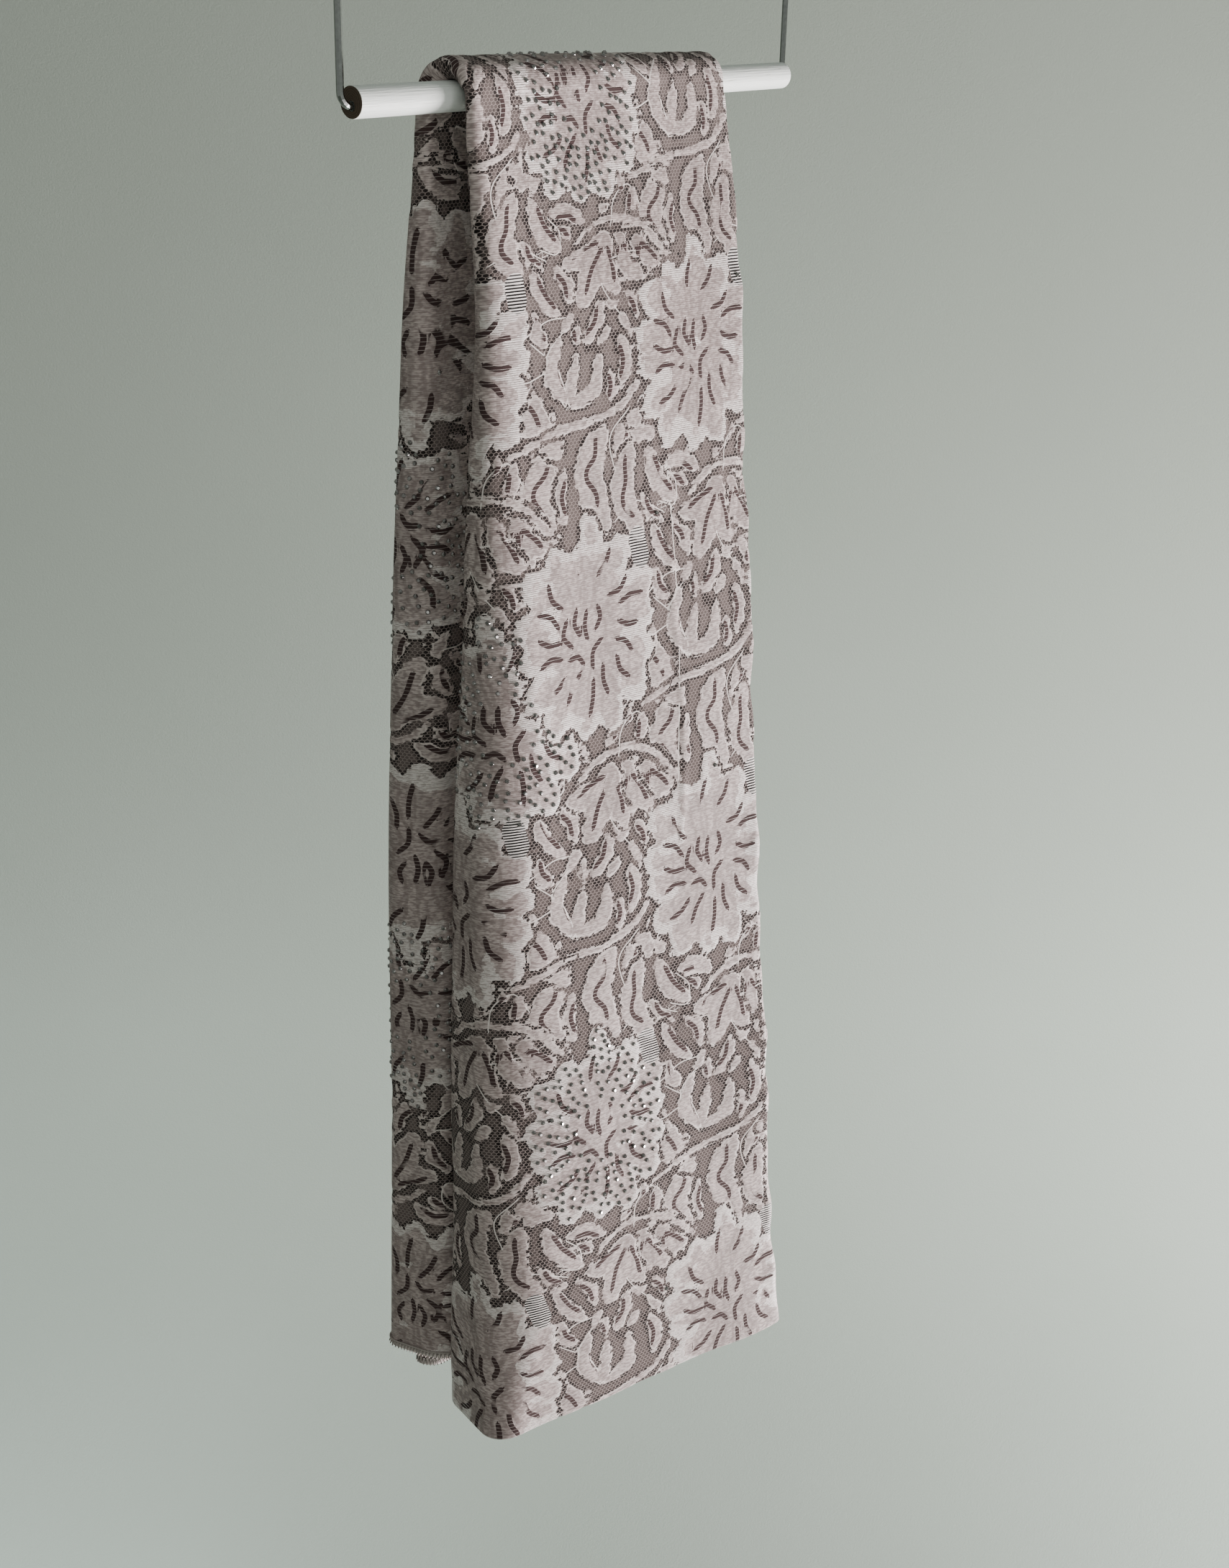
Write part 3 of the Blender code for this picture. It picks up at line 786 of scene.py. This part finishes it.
def lace_fields(across, down, mirror=False, offset=(0.0, 0.0), full=True):
    """Distances in millimetres at each place, by the names in FIELDS; not full gives fills alone.

    Inside a fill, flower or ladder the distance to its edge is minus. A seam is where petals of
    one motif meet. Slits and threads have their plain distance, and the same with its side.
    """
    x = (across.ravel() - offset[0]) * (1 if mirror else -1)
    y = down.ravel() - offset[1]
    out = {name: np.full(x.size, FAR) for name in FIELDS}
    order = np.argsort(y, kind="stable")
    sorted_y = y[order]
    centres = lattice(-x.max(), -x.min(), y.min(), y.max())
    extra = [(motif, [(0.0, 0.0)]) for motif in EXTRA] if full else []
    for group, places in [(REPEAT[0], centres)] + extra + [(motif, centres) for motif in REPEAT[1:]]:
        spans = np.concatenate([line for _, line, _ in group])
        margin = max(widths.max() for _, _, widths in group) + GROUP_MARGIN
        low, high = spans.min(0) - margin, spans.max(0) + margin
        for centre_across, centre_down in places:
            centre = np.array([-centre_across, centre_down])
            first, last = np.searchsorted(sorted_y, (low[1] + centre[1], high[1] + centre[1]))
            near = order[first:last]
            near = near[(x[near] > low[0] + centre[0]) & (x[near] < high[0] + centre[0])]
            if len(near):
                placed = [(kind, line + centre, widths) for kind, line, widths in group]
                add_group(out, near, x[near], y[near], placed, full)
    return {name: values.reshape(across.shape) for name, values in out.items()}


REPEAT = repeat_groups()
EXTRA = [moved(big_flower(), -across, down, turn) for across, down, turn in EXTRA_FLOWERS]
EXTRA.append([petal((-1.0, 352), (-1.0, 430), 3.0, 0.0, 0.5, 0.5, 7, 0.6)])
EXTRA.append([petal((-1.0, 432), (-1.0, 514), 3.6, 0.0, 0.6, 0.6, 7, 0.45)])
EXTRA.append([thread((-47, 146), (-43, 190), (-44, 236), (-46, 284))])


def new_object(name, points, faces, finish, smooth=True):
    """A mesh in the scene, from points in metres, with its material."""
    mesh = bpy.data.meshes.new(name)
    mesh.from_pydata(np.asarray(points).tolist(), [], faces)
    if smooth:
        mesh.shade_smooth()
    mesh.materials.append(finish)
    made = bpy.data.objects.new(name, mesh)
    bpy.context.scene.collection.objects.link(made)
    return made


def lowered(down):
    """The flower at the rod lies a little lower than the even repeat would put it."""
    return down - TOP_SHIFT * np.exp(-((down - TOP_SHIFT_AT) / TOP_SHIFT_REACH) ** 2)


def ragged(grid, fields):
    """The fill's edge made uneven, as stitched edges are, more so round the flowers."""
    def wave(size):
        x, y = grid.across / size, grid.down / size
        return (0.6 * np.sin(1.9 * x + 1.3 * np.sin(1.1 * y)) * np.sin(1.7 * y + 1.1 * np.sin(1.3 * x))
                + 0.4 * np.sin(3.1 * x + y) * np.sin(2.9 * y - x))
    fill = fields["fill"]
    for size, on_leaves, on_flowers in RAGGED:
        fill = fill + np.where(fields["bloom"] < NEAR_FLOWER, on_flowers, on_leaves) * wave(size)
    return fill


def sway(grid):
    """Soft waves of the outer layer, none at the rod, a waved closed fold and one long crease."""
    x, y = grid.across, grid.down
    soft = (np.sin(x / 19 + 1.5 * np.sin(y / 71)) * np.cos(y / 47 + 0.8 * np.sin(x / 33))
            + 0.5 * np.sin(x / 8.3 + y / 61) * np.sin(y / 29 - x / 40))
    fold = np.exp(-(x / EDGE_REACH) ** 2) * (np.sin(y / 9) * np.sin(y / 23 + 1) + 0.5 * np.sin(y / 4.3))
    from_rod = np.clip((np.abs(y) - SWAY_FREE) / SWAY_GROWS, 0, 1)
    crease = np.exp(-((x - CREASE_ACROSS - 2 * np.sin(y / 23)) / CREASE_HALF) ** 2)
    along = (np.clip((y - CREASE_DOWN[0]) / CREASE_ENDS, 0, 1)
             * np.clip((CREASE_DOWN[1] - y) / CREASE_ENDS, 0, 1))
    return (SWAY * soft + EDGE_WAVE * fold) * from_rod + CREASE_DEPTH * crease * along


def new_cloth(name, grid, finish):
    """A smooth quad mesh of a grid; its attributes say where it is on the lace and its motifs."""
    fields = lace_fields(grid.across, lowered(grid.down))
    under = lace_fields(grid.across, grid.down, mirror=True, offset=UNDER_SHIFT, full=False)
    fill = ragged(grid, fields)
    raised = RELIEF * np.clip(0.5 - fill / 1.6, 0, 1) + sway(grid)
    grid.points = grid.points + grid.normals * (raised * grid.outer)[..., None]
    rows, columns = grid.across.shape
    index = np.arange(rows * columns).reshape(rows, columns)
    faces = np.stack([index[:-1, :-1], index[1:, :-1], index[1:, 1:], index[:-1, 1:]], -1)
    made = new_object(name, grid.points.reshape(-1, 3) * MM, faces.reshape(-1, 4).tolist(), finish)
    for attribute, parts in (
            ("place", (grid.across, grid.down, grid.outer)),
            ("fill", (fill, fields["bloom"], ragged(grid, under))),
            ("slit", (fields["slit_side"], fields["slit"], fields["ladder"])),
            ("thread", (fields["thread_side"], fields["thread"], fields["seam"]))):
        values = np.stack([np.asarray(part, np.float32) for part in parts], -1)
        made.data.attributes.new(attribute, "FLOAT_VECTOR", "POINT").data.foreach_set(
            "vector", values.ravel())
    return made


class Signal:
    """A number, vector or colour that a material works out, with plain signs for arithmetic."""

    def __init__(self, graph, socket):
        self.graph = graph
        self.socket = socket

    def __add__(self, other):
        return self.graph.math("ADD", self, other)

    def __sub__(self, other):
        return self.graph.math("SUBTRACT", self, other)

    def __rsub__(self, other):
        return self.graph.math("SUBTRACT", other, self)

    def __mul__(self, other):
        return self.graph.math("MULTIPLY", self, other)

    def __truediv__(self, other):
        return self.graph.math("DIVIDE", self, other)

    def __abs__(self):
        return self.graph.math("ABSOLUTE", self)

    def below(self, edge, soft):
        """1 where the value is under the edge and 0 over it, with a soft step between."""
        ends = {"From Min": edge - soft, "From Max": edge + soft, "To Min": 1.0, "To Max": 0.0}
        return self.graph.node("MapRange", {"Value": self, **ends}, "Result",
                               interpolation_type="SMOOTHSTEP")

    def above(self, edge, soft):
        """1 where the value is over the edge and 0 under it, with a soft step between."""
        return 1.0 - self.below(edge, soft)

    def stripes(self, pitch, half, soft):
        """1 on even stripes, each as wide as twice the half share of the pitch."""
        return abs(self.graph.math("FRACT", self / pitch) - 0.5).below(half, soft)


class Graph:
    """Short words for the nodes of one material."""

    def __init__(self, name):
        self.material = bpy.data.materials.new(name)
        self.material.use_nodes = True
        self.tree = self.material.node_tree
        self.shader = self.tree.nodes["Principled BSDF"]

    def feed(self, socket, value):
        """Links a signal to a socket, or sets a plain number or colour on it."""
        if isinstance(value, Signal):
            self.tree.links.new(value.socket, socket)
        elif isinstance(value, tuple):
            socket.default_value = (*value, 1.0)
        else:
            socket.default_value = value

    def node(self, kind, inputs, output=0, **settings):
        """One output of a new node, from its inputs by name or place and its settings."""
        made = self.tree.nodes.new("ShaderNode" + kind)
        for name, value in settings.items():
            setattr(made, name, value)
        for place, value in inputs.items():
            self.feed(made.inputs[place], value)
        return Signal(self, made.outputs[output])

    def math(self, operation, *values, clamp=False):
        """One sum, by the name of its operation."""
        return self.node("Math", dict(enumerate(values)), operation=operation, use_clamp=clamp)

    def mix(self, share, first, second):
        """The first colour where the share is 0, and the second where it is 1."""
        return self.node("Mix", {0: share, 6: first, 7: second}, 2, data_type="RGBA")

    def layers(self, color, *others):
        """A colour with others laid over it in turn, each with its share."""
        for share, other in others:
            color = self.mix(share, color, other)
        return color

    def vector(self, *values):
        """A vector of three numbers."""
        return self.node("CombineXYZ", dict(enumerate(values)))

    def parts(self, vector):
        """The three numbers of a vector."""
        split = self.tree.nodes.new("ShaderNodeSeparateXYZ")
        self.feed(split.inputs[0], vector)
        return [Signal(self, socket) for socket in split.outputs]

    def attribute(self, name):
        """The three numbers of one of the mesh's attributes."""
        return self.parts(self.node("Attribute", {}, "Vector", attribute_name=name))

    def position(self):
        """The place on the object, in metres."""
        return self.node("TexCoord", {}, "Object")

    def white(self, *values):
        """A random number from 0 to 1 for each set of numbers."""
        return self.node("TexWhiteNoise", {"Vector": self.vector(*values)}, "Value",
                         noise_dimensions="3D")

    def noise(self, vector, scale, detail=2.0, roughness=0.5):
        """Soft noise, mostly near 0.5."""
        return self.node("TexNoise", {"Vector": vector, "Scale": scale, "Detail": detail,
                                      "Roughness": roughness}, "Fac")

    def surface(self, values):
        """Sets or links the shader's sockets by their names."""
        for name, value in values.items():
            self.feed(self.shader.inputs[name], value)

    def bump(self, height, distance=MM):
        """Raises the surface's shading by a height, in units of the distance."""
        raised = self.node("Bump", {"Strength": 1.0, "Distance": distance, "Height": height}, "Normal")
        self.surface({"Normal": raised})


class Lace(Graph):
    """The lace's material, worked out from the distances that the cloth's mesh carries."""

    def __init__(self):
        super().__init__("lace")
        self.across, self.down, _ = self.attribute("place")
        self.fill, self.bloom, self.under = self.attribute("fill")
        self.slit_side, self.slit, self.ladder = self.attribute("slit")
        self.thread_side, self.thread, self.seam = self.attribute("thread")
        self.course_line = self.down.stripes(COURSE, 0.16, 0.12)
        self.cloudy = self.patchy(0.11, 0.11, 9.0)
        self.jag = self.comb()
        self.jagged = self.fill + self.jag
        self.filled = self.jagged.below(0.0, 0.06)
        self.rim, self.edge = self.shine()

    def patchy(self, per_across, per_down, seed, detail=2.0):
        """Soft noise with a scale across and a scale down."""
        place = self.vector(self.across * per_across, self.down * per_down, seed)
        return self.noise(place, 1.0, detail)

    def comb(self):
        """How far the stitched edges reach in or out, course by course."""
        def step(length, pitch):
            return self.math("FLOOR", length / pitch)
        coarse = self.white(step(self.down, 2 * COURSE), step(self.across, 4 * NET_ACROSS), 2.0)
        fine = self.white(step(self.down, COURSE), step(self.across, NET_ACROSS / 2), 1.0)
        return (coarse - 0.5) * COMB + (fine - 0.5) * FINE_COMB

    def net(self, shift):
        """Distance in millimetres to the nearest thread of a net of six-sided holes."""
        x, y = self.across / NET_ACROSS + shift, self.down / NET_DOWN + shift
        found = []
        for half in (0.0, 0.5):
            dx = abs(self.math("FRACT", x + half) - 0.5)
            dy = abs((self.math("FRACT", y + half) - 0.5) * math.sqrt(3))
            found.append(self.math("MAXIMUM", dx * 0.5 + dy * math.sqrt(0.75), dx))
        return (0.5 - self.math("MINIMUM", *found)) * NET_ACROSS

    def shine(self):
        """The flowers' satin rim, its brightness partly a painted sheen, and the pale edge of all fills,
        a painted highlight.
        """
        reach = self.patchy(0.08, 0.08, 5.0, 1.0) * RIM_SPREAD
        depth = self.bloom + (reach - RIM + self.jag * 1.6)
        rim = self.bloom.below(1.0, 0.5) * depth.above(0.0, 0.3)
        # The fills' pale edge is a painted highlight, as on a raised edge in light
        edge = self.jagged.above(-EDGE_HIGHLIGHT_WIDTH, 0.2) * self.cloudy.below(0.52, 0.06)
        return rim, edge

    def holes(self):
        """The open holes of the slits, between their bars; some slits are left out."""
        found = abs(self.slit_side).below(SLIT_HALF, 0.12) * self.slit.below(SLIT_REACH, 0.2)
        found = found * self.fill.below(-0.3, 0.2)
        found = found * self.patchy(0.07, 0.07, 2.0, 1.0).below(SLITS_KEPT, 0.02)
        return found * (1.0 - self.down.stripes(2 * COURSE, 0.07, 0.05))

    def outline(self):
        """The threads that lie on the net, hidden where a fill covers them."""
        found = abs(self.thread_side).below(OUTLINE_HALF, 0.1) * self.thread.below(1.2, 0.2)
        return found * self.fill.above(-0.8, 0.3)

    def stitches(self):
        """The overlock's slanted threads on the back hang's hem."""
        hem = -BACK[-1][0] - crown_length()
        threads = (self.across + self.down * 0.4).stripes(STITCH_STEP, 0.3, 0.08)
        return self.down.below(STITCH_DEEP + hem, 0.2) * (threads * 0.4 + 0.55)

    def behind(self):
        """What shows through the net, all painted shade: the second ply in darker copies of the lace's
        colours, fainter low down, the fold's dark inside, and a painted shadow along fills' edges.
        """
        net = self.mix(self.net(0.31).below(NET_THREAD, 0.1), DEEP_SHADE, UNDER_THREAD_IN_SHADE)
        low_down = self.math("DIVIDE", self.down - UNDER_FADES_AT, UNDER_FADES_AT, clamp=True)
        under = (self.under + self.jag).below(UNDER_SPREAD, 0.4)
        # A painted shadow: the net darkened along the fills' edges
        edge_shadow = self.jagged.below(EDGE_SHADOW_REACH, 0.5) * self.cloudy.below(0.58, 0.08)
        return self.layers(net, (under * (1.0 - low_down * UNDER_FADE), UNDER_FILL_IN_SHADE),
                           (edge_shadow * 0.85, DEEP_SHADE))

    def satin(self, behind):
        """The fills: flecks, courses, thin places showing the painted shade behind, pale edges as a
        painted highlight, seams, a greyer tone inside, and bright rims partly of painted sheen.
        """
        fleck = self.patchy(0.45, 1.2, 4.0, 1.0)
        seam = self.seam.below(0.7, 0.25) * self.fill.below(-0.9, 0.3)
        dash = (self.course_line * 0.4 + 0.5) * self.patchy(0.5, 1.4, 0.0).above(0.5, 0.07)
        return self.layers(
            FILL_COLOR,
            (fleck.below(0.45, 0.05) * 0.6, FILL_SHADE),
            (fleck.above(0.56, 0.05) * 0.5, PALE_FLECK_AND_EDGE_HIGHLIGHT),
            (self.course_line * 0.4, FILL_SHADE),
            (self.cloudy.below(0.5, 0.15) * 0.22, behind),
            # The fills' pale edges: a painted highlight
            (self.edge * 0.6, PALE_FLECK_AND_EDGE_HIGHLIGHT),
            (seam * 0.5, FILL_SHADE),
            (self.bloom.below(-INSIDE, 2.0) * 0.3, FILL_SHADE),
            # The rims' satin thread, its white partly a painted sheen
            (self.rim * 0.75, self.mix(dash, RIM_SHEEN_AND_BAR_COLOR, RIM_LINE)))


def lace_material():
    """Mauve net over a second ply, with satin fills, open slits, ladders and outline threads."""
    g = Lace()
    net, hole, outline, behind = g.net(0.0).below(NET_THREAD, 0.07), g.holes(), g.outline(), g.behind()
    ladder, bar = g.ladder.below(0.0, 0.1), g.down.stripes(LADDER_PITCH, 0.24, 0.08)
    color = g.layers(
        behind,
        (net, NET_COLOR),
        (g.filled, g.satin(behind)),
        # The slits' holes and the ladders' gaps are painted shade of what lies behind
        (hole, SLIT_SHADE_COLOR),
        (ladder, g.mix(bar, DEEP_SHADE, RIM_SHEEN_AND_BAR_COLOR)),
        (outline, THREAD_COLOR),
        (g.stitches(), THREAD_COLOR))
    shiny = g.math("MAXIMUM", g.rim, g.edge * 0.5)
    rough = g.math("MAXIMUM", 1.0 - g.filled * (shiny * 0.26 + 0.36), hole)
    g.surface({"Base Color": color, "Roughness": rough, "Specular IOR Level": 0.35,
               "Sheen Weight": 0.03, "Sheen Roughness": 0.5})
    height = g.filled * FILL_RISE
    for raised in (net * NET_RISE, outline * OUTLINE_RISE, ladder * bar * LADDER_RISE):
        height = g.math("MAXIMUM", height, raised)
    course = g.filled * g.course_line * (g.rim * RIM_COURSE_FALL + COURSE_FALL)
    g.bump(height - hole * SLIT_FALL - course)
    return g.material


def sewing_material():
    """Off-white spun thread."""
    g = Graph("overlock_thread")
    tone = g.mix(g.noise(g.position(), 2500.0), rgb(200, 190, 186), rgb(150, 138, 134))
    g.surface({"Base Color": tone, "Roughness": 0.7})
    return g.material


def stone_material():
    """Bright grey mirror-like cut stones, each a little different."""
    g = Graph("stones")
    tone = g.noise(g.position(), 900.0, 1.0)
    g.surface({"Base Color": g.mix(tone, rgb(104, 100, 100), rgb(196, 192, 192)),
               "Metallic": 0.85, "Roughness": tone * 0.12 + 0.06})
    return g.material


def paint_material():
    """White brushed paint with streaks along the rod, and bare brown end grain."""
    g = Graph("rod_paint")
    x, y, z = g.parts(g.position())
    cos, sin = math.cos(ROD_TILT), math.sin(ROD_TILT)
    lifted = z + ROD_BELOW_HOOK * MM
    along = x * cos + lifted * sin
    over = lifted * cos - x * sin

    def drawn_out(scale_along, scale_round, detail, roughness=0.5):
        place = g.vector(along * scale_along, y * scale_round, over * scale_round)
        return g.noise(place, 1.0, detail, roughness)

    streaks, patches = drawn_out(60.0, 1500.0, 4.0, 0.6), drawn_out(90.0, 260.0, 3.0)
    worn = streaks.below(0.36, 0.04) * patches.below(0.42, 0.05)
    from_core = g.math("SQRT", y * y + over * over) + patches * (RING_WOBBLE * MM)
    rings = g.math("SINE", from_core * GRAIN_RINGS)
    bare = (ROD_LENGTH * MM / 2 - abs(along)).below(BARE_END * MM, BARE_SOFT * MM)
    color = g.layers(
        g.mix(streaks, rgb(240, 248, 243), rgb(254, 255, 255)),
        (worn * 0.55, rgb(176, 172, 160)),
        (bare, g.mix(rings * 0.3 + 0.4, rgb(98, 82, 68), rgb(62, 50, 41))))
    g.surface({"Base Color": color, "Roughness": bare * 0.35 + 0.42})
    g.bump(streaks * 0.25 + rings * bare * 0.05)
    return g.material


def wire_material():
    """Plated bright wire, with faint drawing lines and a few dull spots."""
    g = Graph("bright_wire")
    lines, spots = g.noise(g.position(), 700.0, 3.0), g.noise(g.position(), 160.0, 2.0)
    g.surface({"Base Color": g.mix(lines, rgb(150, 152, 152), rgb(196, 198, 197)),
               "Metallic": 1.0, "Roughness": spots * 0.22 + 0.08})
    g.bump(lines, 0.02 * MM)
    return g.material


def wall_material():
    """Matt pale plaster: soft cloudy tone and a fine grain."""
    g = Graph("wall_plaster")
    clouds, grain = g.noise(g.position(), 2.2, 3.0), g.noise(g.position(), 420.0, 3.0, 0.6)
    tone = g.mix(clouds, rgb(144, 153, 143), rgb(154, 162, 153))
    g.surface({"Base Color": g.mix(grain * 0.16, tone, rgb(176, 182, 174)), "Roughness": 0.9})
    g.bump(grain, 0.25 * MM)
    return g.material


def make_cloth():
    """The three stretches of cloth that show, each with its grid."""
    lace = lace_material()
    made = {}
    for node, grid in (("front_hang", hang_grid(FRONT, -1)), ("over_rod", crown_grid()),
                       ("back_hang", hang_grid(BACK, 1))):
        piece = new_cloth(SHEETS[node][0], grid, lace)
        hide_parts(node)
        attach(piece, "root")
        made[node] = (piece, grid)
    return made


def node_at(down):
    """The CAD node whose stretch of cloth a place is on."""
    if abs(down) < crown_length():
        return "over_rod"
    return "front_hang" if down > 0 else "back_hang"


def spot(cloth, across, down):
    """The point and outward direction at one place on the lace."""
    grid = cloth[node_at(down)][1]
    rows = grid.down[:, grid.down.shape[1] // 2]
    order = np.argsort(rows, kind="stable")
    at = float(np.interp(down, rows[order], order.astype(float)))
    first = min(int(at), len(rows) - 2)
    found = np.zeros(6)
    for row, share in ((first, 1 - at + first), (first + 1, at - first)):
        both = np.concatenate([grid.points[row], grid.normals[row]], axis=1)
        found += share * np.array([np.interp(across, grid.across[row], both[:, k]) for k in range(6)])
    return found[:3], unit(found[3:])


def on_cloth(down):
    """The place down the cloth of a place down the even repeat: lowered() the other way round."""
    found = down
    for _ in range(6):
        found = down + (found - lowered(found))
    return found


def is_free(place, others):
    """Whether a stone has room among the others and is off the flower that has none."""
    off_plain = (place - FIRST_FLOWER) / STONE_FREE_OVAL
    apart = min(np.linalg.norm(place - other) for other in others)
    return apart > STONE_NEAREST and off_plain @ off_plain > 1


def stone_places():
    """Places of the stones: along the outlines and middles of the stone flowers' petals."""
    dice = np.random.default_rng(7)
    found = [np.array(place) for place in LONE_STONES]
    for across, down, turn in STONE_FLOWERS:
        petals = [shape for shape in moved(big_flower()[1:], -across, down, turn) if shape[0] == "bloom"]
        for _, line, widths in petals:
            side = beside(line) * (widths - STONE_INSET)[:, None]
            count = max(int(np.linalg.norm(line[-1] - line[0]) / STONE_SPACING), 2)
            for way, first, last, fewer in STONE_ROWS:
                row = line + way * side
                for share in np.linspace(first, last, count - fewer):
                    at = share * (len(row) - 1)
                    x, y = [np.interp(at, np.arange(len(row)), row[:, k]) for k in (0, 1)]
                    place = np.array([-x, y]) + dice.normal(0, STONE_SCATTER, 2)
                    if is_free(place, found):
                        found.append(place)
    return found


def stone_rings(centre, normal, spin, tip):
    """Three rings of points: foot, girdle and table of one cut stone."""
    aside = unit(np.cross(normal, (0.3, 0.2, 1.0)))
    up = np.cross(normal, aside)
    points = []
    for radius, height, turn in STONE_RINGS:
        for k in range(STONE_SIDES):
            angle = 2 * math.pi * k / STONE_SIDES + spin + turn
            x, y = radius * math.cos(angle), radius * math.sin(angle)
            rise = height + x * tip[0] + y * tip[1]
            points.append(centre + STONE_RADIUS * (aside * x + up * y) + normal * STONE_HEIGHT * rise)
    return points


def stone_faces(first):
    """Upright sides, slanted facets and the flat table of one cut stone."""
    foot, girdle, table = first, first + STONE_SIDES, first + 2 * STONE_SIDES
    faces = [tuple(table + k for k in range(STONE_SIDES))]
    for k in range(STONE_SIDES):
        after = (k + 1) % STONE_SIDES
        faces.append((foot + k, foot + after, girdle + after, girdle + k))
        faces.append((girdle + k, girdle + after, table + k))
        faces.append((girdle + after, table + after, table + k))
    return faces


def make_stones(cloth):
    """Small cut stones set on the lace, one mesh for each stretch of cloth."""
    dice = np.random.default_rng(11)
    meshes = {node: ([], []) for node in cloth}
    for across, down in stone_places():
        if not STONES_FROM < across < STONES_TO:
            continue
        down = on_cloth(down)
        centre, normal = spot(cloth, across, down)
        points, faces = meshes[node_at(down)]
        faces += stone_faces(len(points))
        points += stone_rings(centre, normal, dice.uniform(0, 1), dice.normal(0, STONE_LEAN, 2))
    finish = stone_material()
    made = {}
    for node, (points, faces) in meshes.items():
        made[node] = new_object("stones_" + node, np.array(points) * MM, faces, finish, smooth=False)
        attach(made[node], "root")
    return made


def tube(points, radius, first):
    """Rings of points round a line and the faces between them, numbered from the first."""
    run = unit(np.gradient(points, axis=0))
    aside = unit(np.cross(run, (0.31, 0.17, 0.93)))
    up = np.cross(run, aside)
    angles = np.linspace(0, 2 * math.pi, THREAD_SIDES, endpoint=False)
    rings = np.concatenate([points + radius * (aside * math.cos(a) + up * math.sin(a)) for a in angles])
    count = len(points)
    faces = []
    for k in range(THREAD_SIDES):
        here, after = first + k * count, first + (k + 1) % THREAD_SIDES * count
        faces += [(here + i, here + i + 1, after + i + 1, after + i) for i in range(count - 1)]
    return rings, faces


def make_overlock(cloth):
    """Overlock stitches along the back hang's hem: a zigzag over its edge and a chain."""
    grid = cloth["back_hang"][1]
    hem = -float(abs(grid.down).max())
    first, last = grid.across[-1, 0] + THREAD_INSET, grid.across[-1, -1] - THREAD_INSET
    zigzag, chain = [], []
    for index, across in enumerate(np.arange(first, last, STITCH_STEP / 4)):
        high, lift = ZIGZAG[index % 4]
        centre, normal = spot(cloth, across, hem + high)
        zigzag.append(centre + normal * lift)
        centre, normal = spot(cloth, across, hem + STITCH_DEEP)
        chain.append(centre + normal * CHAIN_LIFT[index % 2])
    points, faces = tube(np.array(zigzag), ZIGZAG_RADIUS, 0)
    chain_points, chain_faces = tube(np.array(chain), CHAIN_RADIUS, len(points))
    made = new_object("overlock", np.concatenate([points, chain_points]) * MM, faces + chain_faces,
                      sewing_material())
    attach(made, "root")
    return made


def declare_sheets(cloth, stones, overlock):
    """Gathers the separate pieces that lie on each stretch of cloth; the lists are not kept."""
    for node, (piece, _) in cloth.items():
        on_it = [stones[node]] + ([overlock] if node == "back_hang" else [])


def dress_hardware():
    """The rod, the wire frame and the hook keep their shapes and get their finishes."""
    paint, wire = paint_material(), wire_material()
    for name, finish in (("rod", paint), ("wire_frame", wire), ("hook", wire)):
        for slot in bpy.data.objects[name].material_slots:
            slot.material = finish


def in_room(aside, ahead, height):
    """A point of the room, from the hook: to the camera's right, away from it, and up."""
    way = np.array([math.sin(-CAMERA_TURN[2]), math.cos(-CAMERA_TURN[2]), 0.0])
    side = np.array([way[1], -way[0], 0.0])
    return way * ahead + side * aside + np.array([0.0, 0.0, height])


def make_backdrop():
    """A pale wall that curves into the floor."""
    turn = np.linspace(0, math.pi / 2, COVE_STEPS + 1)
    profile = [(STAGE_TOP, 0.0)] + [
        (FLOOR_LEVEL + COVE * (1 - math.sin(t)), -COVE * (1 - math.cos(t))) for t in turn]
    profile.append((FLOOR_LEVEL, -2 * STAGE_REACH))
    points = [in_room(reach, WALL_BEHIND + forward, height)
              for reach in (-STAGE_REACH, STAGE_REACH) for height, forward in profile]
    count = len(profile)
    faces = [(i, i + 1, i + 1 + count, i + count) for i in range(count - 1)]
    new_object("backdrop", points, faces, wall_material())


def make_lights():
    """An even pale room, a soft key light from the right, two weak fills and two wall lights."""
    world = bpy.data.worlds.new("room")
    bpy.context.scene.world = world
    world.use_nodes = True
    sky = world.node_tree.nodes["Background"]
    sky.inputs["Color"].default_value = (*ROOM_COLOR, 1.0)
    sky.inputs["Strength"].default_value = ROOM_LIGHT
    for name, place, size, power, color, aim in LIGHTS:
        data = bpy.data.lights.new(name, "AREA")
        data.shape = "RECTANGLE"
        data.size, data.size_y = size
        data.energy = power
        data.color = color
        light = bpy.data.objects.new(name, data)
        light.location = in_room(*place)
        way = Vector(in_room(*aim) - in_room(*place))
        light.rotation_euler = way.to_track_quat("-Z", "Y").to_euler()
        bpy.context.scene.collection.objects.link(light)


def make_camera():
    """The camera at the photograph's place."""
    data = bpy.data.cameras.new("camera")
    data.lens = CAMERA_LENS
    data.sensor_width = SENSOR_LONG_SIDE
    camera = bpy.data.objects.new("camera", data)
    camera.location = CAMERA_PLACE
    camera.rotation_euler = CAMERA_TURN
    bpy.context.scene.collection.objects.link(camera)
    bpy.context.scene.camera = camera


cloth = make_cloth()
stones = make_stones(cloth)
overlock = make_overlock(cloth)
declare_sheets(cloth, stones, overlock)
dress_hardware()
make_backdrop()
make_lights()
make_camera()
